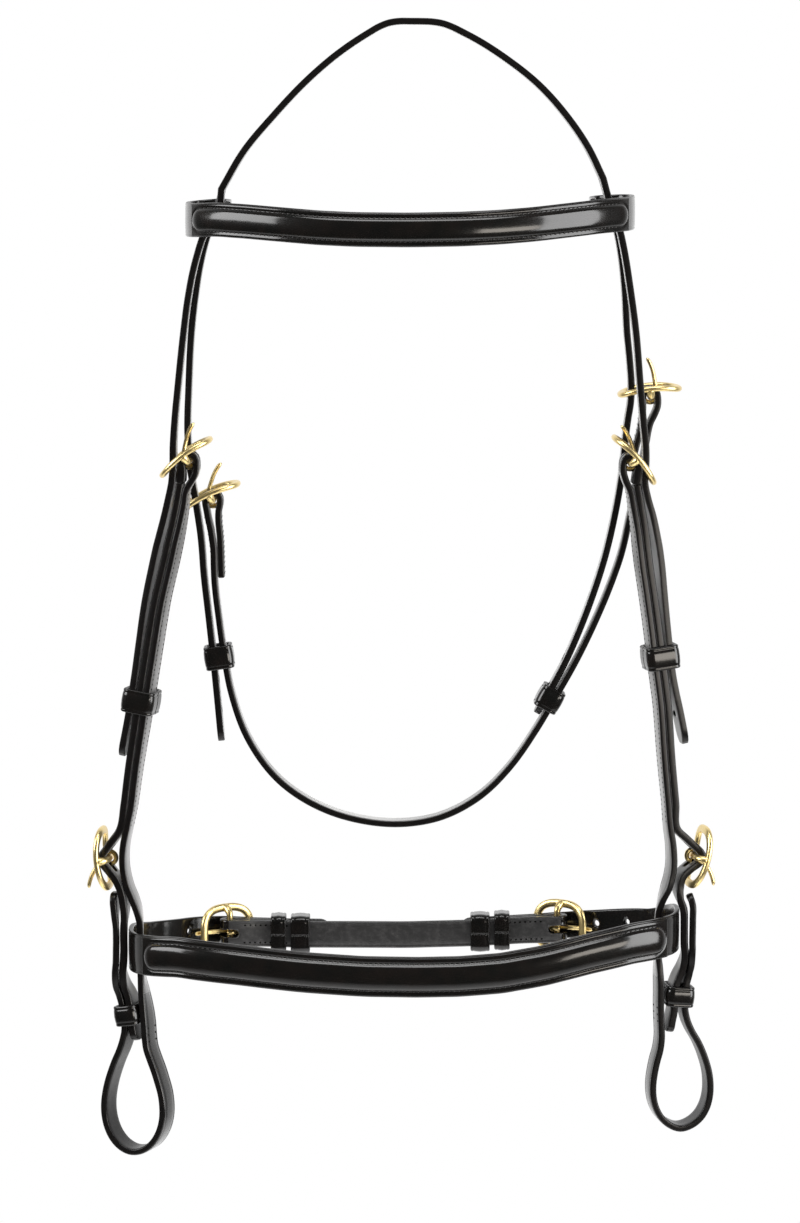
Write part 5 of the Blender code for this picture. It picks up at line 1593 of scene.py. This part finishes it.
@once
def grain_look():
    # Real material: English bridle leather, drum-dyed black, waxed and glazed. The black turns brownish in
    # patches of 9 mm, the grain cells are 0.9 mm with fine pores, and the wax film is a coat over them.
    look = sizes_of("looks")
    made, tree, shader, spot = start_look("polished black bridle leather")
    dye = node(tree, "TexNoise", {"Vector": spot, "Scale": per_mm(9.0), "Detail": 4.0, "Roughness": 0.55})
    thin = node(tree, "MapRange", {"Value": dye, "From Min": 0.35, "From Max": 0.7})
    inks = {0: thin, 6: linear(look.leather), 7: linear(look.leather_warm)}
    wander = node(tree, "TexNoise", {"Vector": spot, "Scale": per_mm(1.6), "Detail": 2.0}, "Color")
    wander = node(tree, "VectorMath", {0: wander, "Scale": 0.5 * MM}, operation="SCALE")
    bent = node(tree, "VectorMath", {0: spot, 1: wander}, operation="ADD")
    cell = {"Vector": bent, "Scale": 1 / look.grain_cell}
    crease = node(tree, "TexVoronoi", cell, feature="DISTANCE_TO_EDGE")
    cells_height = node(tree, "MapRange", {"Value": crease, "From Max": 0.16})
    hide = node(tree, "TexNoise", {"Vector": spot, "Scale": per_mm(14.0), "Detail": 2.0, "Roughness": 0.55})
    slow = node(tree, "Bump", {"Height": hide, "Distance": 0.22 * MM, "Strength": 0.5})
    grain = {"Height": cells_height, "Distance": 0.03 * MM, "Strength": look.grain_strength, "Normal": slow}
    fine = node(tree, "Bump", grain)
    pores = node(tree, "TexNoise", {"Vector": spot, "Scale": per_mm(0.22), "Detail": 2.0, "Roughness": 0.55})
    pored = node(tree, "Bump", {"Height": pores, "Distance": 0.012 * MM, "Strength": 0.3, "Normal": fine})
    glaze = node(tree, "TexNoise", {"Vector": spot, "Scale": per_mm(6.0), "Detail": 5.0, "Roughness": 0.6})
    rough = {"Value": glaze, "To Min": look.leather_rough - 0.06, "To Max": look.leather_rough + 0.08}
    surface = {
        "Base Color": node(tree, "Mix", inks, 2, data_type="RGBA"),
        "Roughness": node(tree, "MapRange", rough),
        "IOR": 1.5,
        "Normal": pored,
        "Specular IOR Level": look.leather_sheen,
        "Coat Weight": look.wax,
        "Coat Roughness": look.wax_rough,
        "Coat IOR": 1.5,
        "Coat Normal": slow,
    }
    fill(shader, surface)
    return made


@once
def edge_look():
    # Real material: the cut edge of the same hide, inked black and burnished, with fibre layers of 0.7 mm.
    look = sizes_of("looks")
    made, tree, shader, spot = start_look("burnished black leather edge")
    ink = node(tree, "TexNoise", {"Vector": spot, "Scale": per_mm(2.2), "Detail": 5.0, "Roughness": 0.65})
    thin = node(tree, "MapRange", {"Value": ink, "From Min": 0.4, "From Max": 0.75})
    inks = {0: thin, 6: linear(look.edge), 7: linear(look.leather_warm)}
    fibre = {"Vector": spot, "Scale": per_mm(0.7), "Detail": 3.0, "Roughness": 0.6, "Distortion": 0.4}
    layers = node(tree, "TexNoise", fibre)
    rubbing_and_low_shade = node(tree, "TexNoise", {"Vector": spot, "Scale": per_mm(3.0), "Detail": 4.0, "Roughness": 0.55})
    surface = {
        "Base Color": node(tree, "Mix", inks, 2, data_type="RGBA"),
        "Roughness": node(tree, "MapRange", {"Value": rubbing_and_low_shade, "To Min": 0.3, "To Max": 0.52}),
        "IOR": 1.5,
        "Normal": node(tree, "Bump", {"Height": layers, "Distance": 0.03 * MM, "Strength": 0.3}),
        "Specular IOR Level": 0.12,
        "Coat Weight": 0.38,
        "Coat Roughness": 0.2,
    }
    fill(shader, surface)
    return made


@once
def flesh_look():
    # Real material: the flesh side, dyed through and slicked with wax. Its fibres are 0.35 mm, pale where the
    # wax blooms in patches of 3.5 mm. Low down, from about the noseband's height, it is made darker as a
    # painted shade.
    look = sizes_of("looks")
    made, tree, shader, spot = start_look("dyed flesh side of leather")
    fibre = {"Vector": spot, "Scale": per_mm(0.35), "Detail": 5.0, "Roughness": 0.7, "Distortion": 0.8}
    nap = node(tree, "TexNoise", fibre)
    bloom = node(tree, "TexNoise", {"Vector": spot, "Scale": per_mm(3.5), "Detail": 4.0, "Roughness": 0.65})
    share = node(tree, "Math", {0: nap, 1: bloom}, operation="MULTIPLY")
    # Painted shade: below about the noseband's height the share of pale bloom is cut to 0.6 of itself, so the
    # flesh side is darker low down.
    height = node(tree, "SeparateXYZ", {"Vector": spot}, "Z")
    rubbing_and_low_shade = {"Value": height, "From Min": -0.46, "From Max": -0.39, "To Min": 0.6, "To Max": 1.0}
    share = node(tree, "Math", {0: share, 1: node(tree, "MapRange", rubbing_and_low_shade)}, operation="MULTIPLY")
    pale = node(tree, "MapRange", {"Value": share, "From Min": 0.14, "From Max": 0.42})
    dyes = {0: pale, 6: linear(look.flesh), 7: linear(look.bloom)}
    hide = node(tree, "TexNoise", {"Vector": spot, "Scale": per_mm(6.0), "Detail": 3.0, "Roughness": 0.55})
    slow = node(tree, "Bump", {"Height": hide, "Distance": 0.2 * MM, "Strength": 0.4})
    surface = {
        "Base Color": node(tree, "Mix", dyes, 2, data_type="RGBA"),
        "Roughness": node(tree, "MapRange", {"Value": bloom, "To Min": 0.34, "To Max": 0.6}),
        "IOR": 1.48,
        "Normal": node(tree, "Bump", {"Height": nap, "Distance": 0.05 * MM, "Strength": 0.3, "Normal": slow}),
        "Coat Weight": 0.6,
        "Coat Roughness": 0.3,
        "Sheen Weight": look.nap_sheen,
        "Sheen Roughness": 0.35,
    }
    fill(shader, surface)
    return made


@once
def thread_look():
    look = sizes_of("looks")
    return laid_thread("black waxed linen thread", look.thread, look.thread_crown_highlight, 0.5)


@once
def bedded_thread_look():
    look = sizes_of("looks")
    return laid_thread("black linen thread pulled into the hide", look.leather, look.edge, 0.03)


def laid_thread(name, dark, pale, sheen):
    # Real material: waxed linen thread, 0.95 mm, laid from plies that turn once in about 1.1 mm. The paler
    # colour on the crowns of the plies is a painted highlight.
    made, tree, shader, spot = start_look(name)
    where = node(tree, "TexCoord", {}, "UV")
    plies = {"Vector": where, "Scale": per_mm(1.1) / math.tau, "Distortion": 0.4}
    # The twist bands mix the dark thread with a paler colour on the crowns of the plies: a painted highlight.
    twist = node(tree, "TexWave", plies, "Fac", wave_type="BANDS", bands_direction="DIAGONAL")
    wax = node(tree, "TexNoise", {"Vector": spot, "Scale": per_mm(1.0), "Detail": 3.0, "Roughness": 0.55})
    surface = {
        "Base Color": node(tree, "Mix", {0: twist, 6: linear(dark), 7: linear(pale)}, 2, data_type="RGBA"),
        "Roughness": node(tree, "MapRange", {"Value": wax, "To Min": 0.42, "To Max": 0.6}),
        "IOR": 1.5,
        "Normal": node(tree, "Bump", {"Height": twist, "Distance": 0.08 * MM, "Strength": 0.8}),
        "Specular IOR Level": sheen,
    }
    fill(shader, surface)
    return made


@once
def brass_look():
    # Real material: cast brass, tumbled and buffed, with a faint casting ripple of 9 mm, a buffing haze, and
    # duller spots where it is worn.
    look = sizes_of("looks")
    made, tree, shader, spot = start_look("polished cast brass")
    worn = node(tree, "TexNoise", {"Vector": spot, "Scale": per_mm(9.0), "Detail": 3.0, "Roughness": 0.5})
    dull = node(tree, "MapRange", {"Value": worn, "From Min": 0.5, "From Max": 0.85, "To Max": 0.45})
    metals = {0: dull, 6: linear(look.brass), 7: linear(look.brass_tarnish)}
    ripple = node(tree, "TexNoise", {"Vector": spot, "Scale": per_mm(9.0), "Detail": 1.0, "Roughness": 0.55})
    haze = node(tree, "TexNoise", {"Vector": spot, "Scale": per_mm(2.5), "Detail": 4.0, "Roughness": 0.6})
    rough = {"Value": haze, "To Min": look.brass_rough - 0.03, "To Max": look.brass_rough + 0.06}
    surface = {
        "Base Color": node(tree, "Mix", metals, 2, data_type="RGBA"),
        "Metallic": 1.0,
        "Roughness": node(tree, "MapRange", rough),
        "Normal": node(tree, "Bump", {"Height": ripple, "Distance": 0.05 * MM, "Strength": 0.1}),
    }
    fill(shader, surface)
    return made


@once
def felt_look():
    # Real material: pressed wool felt, its fibres in tufts of about 0.5 mm.
    look = sizes_of("looks")
    made, tree, shader, spot = start_look("pressed grey felt")
    tuft = {"Vector": spot, "Scale": per_mm(0.5), "Detail": 6.0, "Roughness": 0.8, "Distortion": 1.0}
    fibres = node(tree, "TexNoise", tuft)
    wools = {0: fibres, 6: linear(look.felt), 7: linear(look.felt_high)}
    surface = {
        "Base Color": node(tree, "Mix", wools, 2, data_type="RGBA"),
        "Roughness": 0.95,
        "IOR": 1.5,
        "Normal": node(tree, "Bump", {"Height": fibres, "Distance": 0.2 * MM, "Strength": 0.7}),
        "Sheen Weight": 0.4,
    }
    fill(shader, surface)
    return made


def strap_looks():
    """The materials of a strap, in the order EDGE, GRAIN, FLESH."""
    return [edge_look(), grain_look(), flesh_look()]


# Sizes and colours


def a_length(name, description, metres):
    return FloatProperty(name=name, description=description, default=metres, unit="LENGTH")


def a_share(name, description, value):
    return FloatProperty(name=name, description=description, default=value, min=0, max=1)


def a_count(name, description, value, least):
    return IntProperty(name=name, description=description, default=value, min=least)


def a_power(name, description, watts):
    return FloatProperty(name=name, description=description, default=watts, unit="POWER")


def a_colour(name, description, code):
    """A colour property whose default is an sRGB hex value."""
    shares = [int(code[k : k + 2], 16) / 255 for k in (1, 3, 5)]
    look = {"subtype": "COLOR_GAMMA", "size": 3, "min": 0, "max": 1}
    return FloatVectorProperty(name=name, description=description, default=shares, **look)


class LeatherSizes(bpy.types.PropertyGroup):
    """Sizes of the straps' dressing"""

    crease_inset: a_length("Crease inset", "From the edge to the crease", 0.0015)
    crease_depth: a_length("Crease depth", "Depth of the crease", 0.00016)
    dome: a_length("Dome", "How far the grain side is domed", 0.00012)
    edge_round: a_length("Edge round", "Radius of the headpiece's edges", 0.0008)
    groove_depth: a_length("Groove depth", "Depth of the stitched groove", 0.0004)
    groove_width: a_length("Groove width", "Half width of that groove", 0.0008)


class StitchSizes(bpy.types.PropertyGroup):
    """Sizes of the hand stitching, a little coarser than the real one, so that it shows"""

    pitch: a_length("Pitch", "From one stitch to the next", 0.0025)
    stitch_length: a_length("Length", "Length of a stitch", 0.0017)
    thread: a_length("Thread", "Width of the thread", 0.00095)
    slant: FloatProperty(name="Slant", description="Lean of each stitch", default=0.16, unit="ROTATION")
    inset: a_length("Inset", "From the strap's edge to a row", 0.0024)


class BrassSizes(bpy.types.PropertyGroup):
    """How closely the castings are sampled"""

    frame_stations: a_count("Frame stations", "Stations round the oval", 128, 24)
    frame_sides: a_count("Frame sides", "Points round the rail", 20, 8)
    tongue_sides: a_count("Tongue sides", "Points round the tongue", 16, 8)


class Looks(bpy.types.PropertyGroup):
    """Colours and finishes"""

    leather: a_colour("Leather", "Black of the grain side", "#040403")
    leather_warm: a_colour("Leather, warm", "Brownish black where the dye is thin", "#0C0806")
    edge: a_colour("Edge", "Inked edge", "#060505")
    flesh: a_colour("Flesh", "Dyed flesh side", "#1D1C1C")
    bloom: a_colour("Bloom", "Wax bloom on the flesh side", "#575554")
    thread: a_colour("Thread", "Waxed linen", "#161413")
    # Painted highlight: the paler colour laid on the crowns of the thread's plies
    thread_crown_highlight: a_colour("Thread, high", "Crowns of the plies", "#454240")
    brass: a_colour("Brass", "Polished brass", "#F1D999")
    brass_tarnish: a_colour("Brass, dull", "Worn or dull brass", "#C29957")
    felt: a_colour("Felt", "Pressed felt", "#4D4A47")
    felt_high: a_colour("Felt, high", "Loose fibres", "#807D78")
    grain_cell: a_length("Grain cell", "Size of a grain cell", 0.0009)
    grain_strength: a_share("Grain", "Strength of the grain", 0.35)
    leather_rough: a_share("Leather roughness", "Roughness of the grain", 0.42)
    leather_sheen: a_share("Leather sheen", "Specular level under the wax", 0.06)
    wax: a_share("Wax", "Weight of the wax film", 1.0)
    wax_rough: a_share("Wax roughness", "Roughness of the wax film", 0.13)
    nap_sheen: a_share("Nap sheen", "Sheen of the flesh side's fibres", 0.6)
    brass_rough: a_share("Brass roughness", "Roughness of the brass", 0.3)


class StudioSizes(bpy.types.PropertyGroup):
    """Light, floor and camera"""

    floor_z: a_length("Floor height", "Height of the floor", -0.82)
    floor_reach: a_length("Floor reach", "Where the floor has faded out", 0.75)
    floor_colour: a_colour("Floor", "Plain pale floor", "#F7F7F7")
    level: FloatProperty(name="Level", description="Strength of the even light", default=0.9, min=0)
    side_power: a_power("Side boxes", "Power of each side box, before its own share", 19.0)
    front_power: a_power("Front box", "Power of the low box beside the camera", 7.0)
    top_power: a_power("Top box", "Power of the box overhead", 18.0)
    lens: FloatProperty(name="Lens", description="Focal length", default=139.53, unit="CAMERA")


# The studio


CAMERA_PLACE = (-0.0036, -2.4, -0.007)
CAMERA_AIM = (-0.0036, 0.0, -0.297)
MIDDLE = (0.0, 0.0, -0.30)
LAMP_WHITE = (1.0, 1.0, 1.0)
LAMP_WARM = (1.0, 0.93, 0.84)
FLOOR_FADE = 0.2
MIRRORED_DARK = 0.06


def add_to_scene(name, data):
    made = bpy.data.objects.new(name, data)
    bpy.context.scene.collection.objects.link(made)
    return made


def turn_to(made, place, aim):
    """Stands a lamp or a camera at a place and points its -Z at an aim, with Y upward."""
    place, aim = Vector(place), Vector(aim)
    turn = (aim - place).to_track_quat("-Z", "Y").to_matrix().to_4x4()
    made.matrix_world = Matrix.Translation(place) @ turn


def area_light(name, power, place, aim, wide, tall, colour=LAMP_WHITE):
    """A rectangular lamp at a place, turned to an aim."""
    lamp = bpy.data.lights.new(name, "AREA")
    lamp.shape = "RECTANGLE"
    lamp.energy, lamp.size, lamp.size_y = power, wide, tall
    lamp.color = colour
    made = add_to_scene(name, lamp)
    turn_to(made, place, aim)


def make_world(sizes):
    """White where the camera looks into it, and an even level where it lights the object.

    In reflections it is white behind the object and goes over to dark at the sides and towards the camera, as
    in a room where only the backdrop is lit, so the polish shows the lamps on black leather.
    """
    world = bpy.data.worlds.new("white studio")
    bpy.context.scene.world = world
    world.use_nodes = True
    tree = world.node_tree
    tree.nodes.clear()
    rays = node(tree, "LightPath", {}).node.outputs
    glossy, camera, through = (rays[f"Is {kind} Ray"] for kind in ("Glossy", "Camera", "Transmission"))
    backward = node(tree, "SeparateXYZ", {"Vector": node(tree, "TexCoord", {}, "Generated")}, "Y")
    lit = {"Value": backward, "From Min": 0.15, "From Max": 0.75, "To Min": MIRRORED_DARK}
    mirrored = node(tree, "Math", {0: node(tree, "MapRange", lit), 1: glossy}, operation="MULTIPLY")
    direct = node(tree, "Math", {0: camera, 1: through}, operation="MAXIMUM")
    shown = node(tree, "Math", {0: mirrored, 1: direct}, operation="MAXIMUM")
    seen = node(tree, "Math", {0: glossy, 1: direct}, operation="MAXIMUM")
    plain = node(tree, "Math", {0: 1.0, 1: seen}, operation="SUBTRACT")
    level = node(tree, "Math", {0: plain, 1: sizes.level, 2: shown}, operation="MULTIPLY_ADD")
    back = node(tree, "Background", {"Color": (1, 1, 1, 1), "Strength": level})
    node(tree, "OutputWorld", {"Surface": back})


def make_floor(sizes):
    """A pale floor that keeps the object's shadow and fades into the white room away from the object."""
    reach, z = mm(sizes.floor_reach), mm(sizes.floor_z)
    side = np.linspace(-reach, reach, 9)
    points = np.stack([*np.meshgrid(side, side), np.full((9, 9), z)], axis=-1)
    made, tree, shader, spot = start_look("matt white floor paper")
    fill(shader, {"Base Color": linear(sizes.floor_colour), "Roughness": 0.9})
    flat = node(tree, "VectorMath", {0: spot, 1: (1, 1, 0)}, operation="MULTIPLY")
    far = node(tree, "VectorMath", {0: flat}, "Value", operation="LENGTH")
    fade = {"Value": far, "From Min": FLOOR_FADE, "From Max": sizes.floor_reach * 0.95}
    share = node(tree, "MapRange", fade)
    gone = node(tree, "BsdfTransparent", {})
    mix = node(tree, "MixShader", {0: share, 1: shader.outputs[0], 2: gone})
    fill(tree.nodes["Material Output"], {"Surface": mix})
    build_mesh("floor", points, grid_faces(9, 9), [made])


def make_camera(sizes):
    lens = bpy.data.cameras.new("camera")
    lens.lens = sizes.lens
    lens.sensor_fit = "VERTICAL"
    lens.sensor_height = 36.0
    lens.clip_end = 20.0
    made = add_to_scene("camera", lens)
    turn_to(made, CAMERA_PLACE, CAMERA_AIM)
    bpy.context.scene.camera = made


def make_studio():
    """The white room, with level boxes at both sides, one overhead and a low, warm one beside the camera."""
    sizes = sizes_of("studio")
    bpy.context.scene.view_settings.view_transform = "Standard"
    make_world(sizes)
    make_floor(sizes)
    make_camera(sizes)
    left, right = (-1.6, -0.6, 0.5), (1.55, -0.7, 0.1)
    area_light("side box left", sizes.side_power * 1.7, left, (0.0, 0.0, left[2]), 1.15, 1.2)
    area_light("side box right", sizes.side_power * 1.9, right, (0.0, 0.0, right[2]), 0.9, 1.8)
    area_light("front box", sizes.front_power, (1.0, -1.35, -0.4), (0.05, 0.0, -0.47), 0.8, 0.4, LAMP_WARM)
    area_light("top box", sizes.top_power, (0.0, -0.5, 1.3), MIDDLE, 1.2, 0.8)


# Operators, one for each piece or group of like pieces


class BRIDLE_OT_headpiece(bpy.types.Operator):
    """The crown with its four legs, their round tips and billet holes"""

    bl_idname = "bridle.headpiece"
    bl_label = "Headpiece"

    def execute(self, context):
        make_headpiece()
        return {"FINISHED"}


class BRIDLE_OT_cheeks(bpy.types.Operator):
    """Both cheek straps with their bit loops, and the facings stitched to them"""

    bl_idname = "bridle.cheeks"
    bl_label = "Cheek straps and facings"

    def execute(self, context):
        make_cheeks()
        return {"FINISHED"}


class BRIDLE_OT_throatlatch(bpy.types.Operator):
    """The throatlatch with its two turned ends"""

    bl_idname = "bridle.throatlatch"
    bl_label = "Throatlatch"

    def execute(self, context):
        make_throatlatch()
        return {"FINISHED"}


class BRIDLE_OT_browband(bpy.types.Operator):
    """The browband: base with end loops, filler and raised cover"""

    bl_idname = "bridle.browband"
    bl_label = "Browband"

    def execute(self, context):
        make_browband()
        return {"FINISHED"}


class BRIDLE_OT_noseband(bpy.types.Operator):
    """The noseband: base with its billets, filler and raised cover"""

    bl_idname = "bridle.noseband"
    bl_label = "Noseband"

    def execute(self, context):
        make_noseband()
        return {"FINISHED"}


class BRIDLE_OT_jaw_strap(bpy.types.Operator):
    """The jaw strap with its two turned ends"""

    bl_idname = "bridle.jaw_strap"
    bl_label = "Jaw strap"

    def execute(self, context):
        make_jaw_strap()
        return {"FINISHED"}


class BRIDLE_OT_buckles(bpy.types.Operator):
    """The eight whole buckles and their tongues"""

    bl_idname = "bridle.buckles"
    bl_label = "Buckles and tongues"

    def execute(self, context):
        sizes = sizes_of("brass")
        for kind, label, frame_at, tongue_at, length in buckle_places():
            name = f"{kind}_buckle_{label}"
            stands_for(make_frame(name + "-dressed", frame_at, sizes), "brass", name)
            name = f"{kind}_buckle_tongue_{label}"
            stands_for(make_tongue(name + "-dressed", tongue_at, length, sizes), "brass", name)
        return {"FINISHED"}


class BRIDLE_OT_keepers(bpy.types.Operator):
    """The ten keepers, sewn across where their ends meet"""

    bl_idname = "bridle.keepers"
    bl_label = "Keepers"

    def execute(self, context):
        for name, at, thick, wide, length, play in keeper_places():
            stands_for(make_keeper(name + "-dressed", at, thick, wide, length, play), "leather", name)
        return {"FINISHED"}


class BRIDLE_OT_stitching(bpy.types.Operator):
    """The rows of stitches of the cheeks, turned ends, browband and noseband"""

    bl_idname = "bridle.stitching"
    bl_label = "Stitching"

    def execute(self, context):
        make_stitching()
        return {"FINISHED"}


class BRIDLE_OT_studio(bpy.types.Operator):
    """The white room, its floor, lamps and camera"""

    bl_idname = "bridle.studio"
    bl_label = "Studio"

    def execute(self, context):
        make_studio()
        return {"FINISHED"}


GROUPS = {
    "leather": LeatherSizes,
    "stitches": StitchSizes,
    "brass": BrassSizes,
    "looks": Looks,
    "studio": StudioSizes,
}
STEPS = (
    BRIDLE_OT_headpiece,
    BRIDLE_OT_cheeks,
    BRIDLE_OT_throatlatch,
    BRIDLE_OT_browband,
    BRIDLE_OT_noseband,
    BRIDLE_OT_jaw_strap,
    BRIDLE_OT_buckles,
    BRIDLE_OT_keepers,
    BRIDLE_OT_stitching,
    BRIDLE_OT_studio,
)


class BRIDLE_PT_panel(bpy.types.Panel):
    """Lists the pieces and the sizes behind them"""

    bl_label = "In-hand bridle"
    bl_idname = "BRIDLE_PT_panel"
    bl_space_type = "VIEW_3D"
    bl_region_type = "UI"
    bl_category = "Bridle"

    def draw(self, context):
        for step in STEPS:
            self.layout.operator(step.bl_idname)
        for group, kind in GROUPS.items():
            box = self.layout.box()
            box.label(text=kind.__doc__)
            for key in kind.__annotations__:
                box.prop(sizes_of(group), key)


def register():
    for kind in (*GROUPS.values(), *STEPS, BRIDLE_PT_panel):
        bpy.utils.register_class(kind)
    for group, kind in GROUPS.items():
        setattr(bpy.types.Scene, f"bridle_{group}", PointerProperty(type=kind))


def unregister():
    for group in GROUPS:
        delattr(bpy.types.Scene, f"bridle_{group}")
    for kind in (BRIDLE_PT_panel, *STEPS[::-1], *list(GROUPS.values())[::-1]):
        bpy.utils.unregister_class(kind)


def main():
    register()
    for step in STEPS:
        group, name = step.bl_idname.split(".")
        getattr(getattr(bpy.ops, group), name)()
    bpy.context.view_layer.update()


if __name__ == "__main__":
    main()
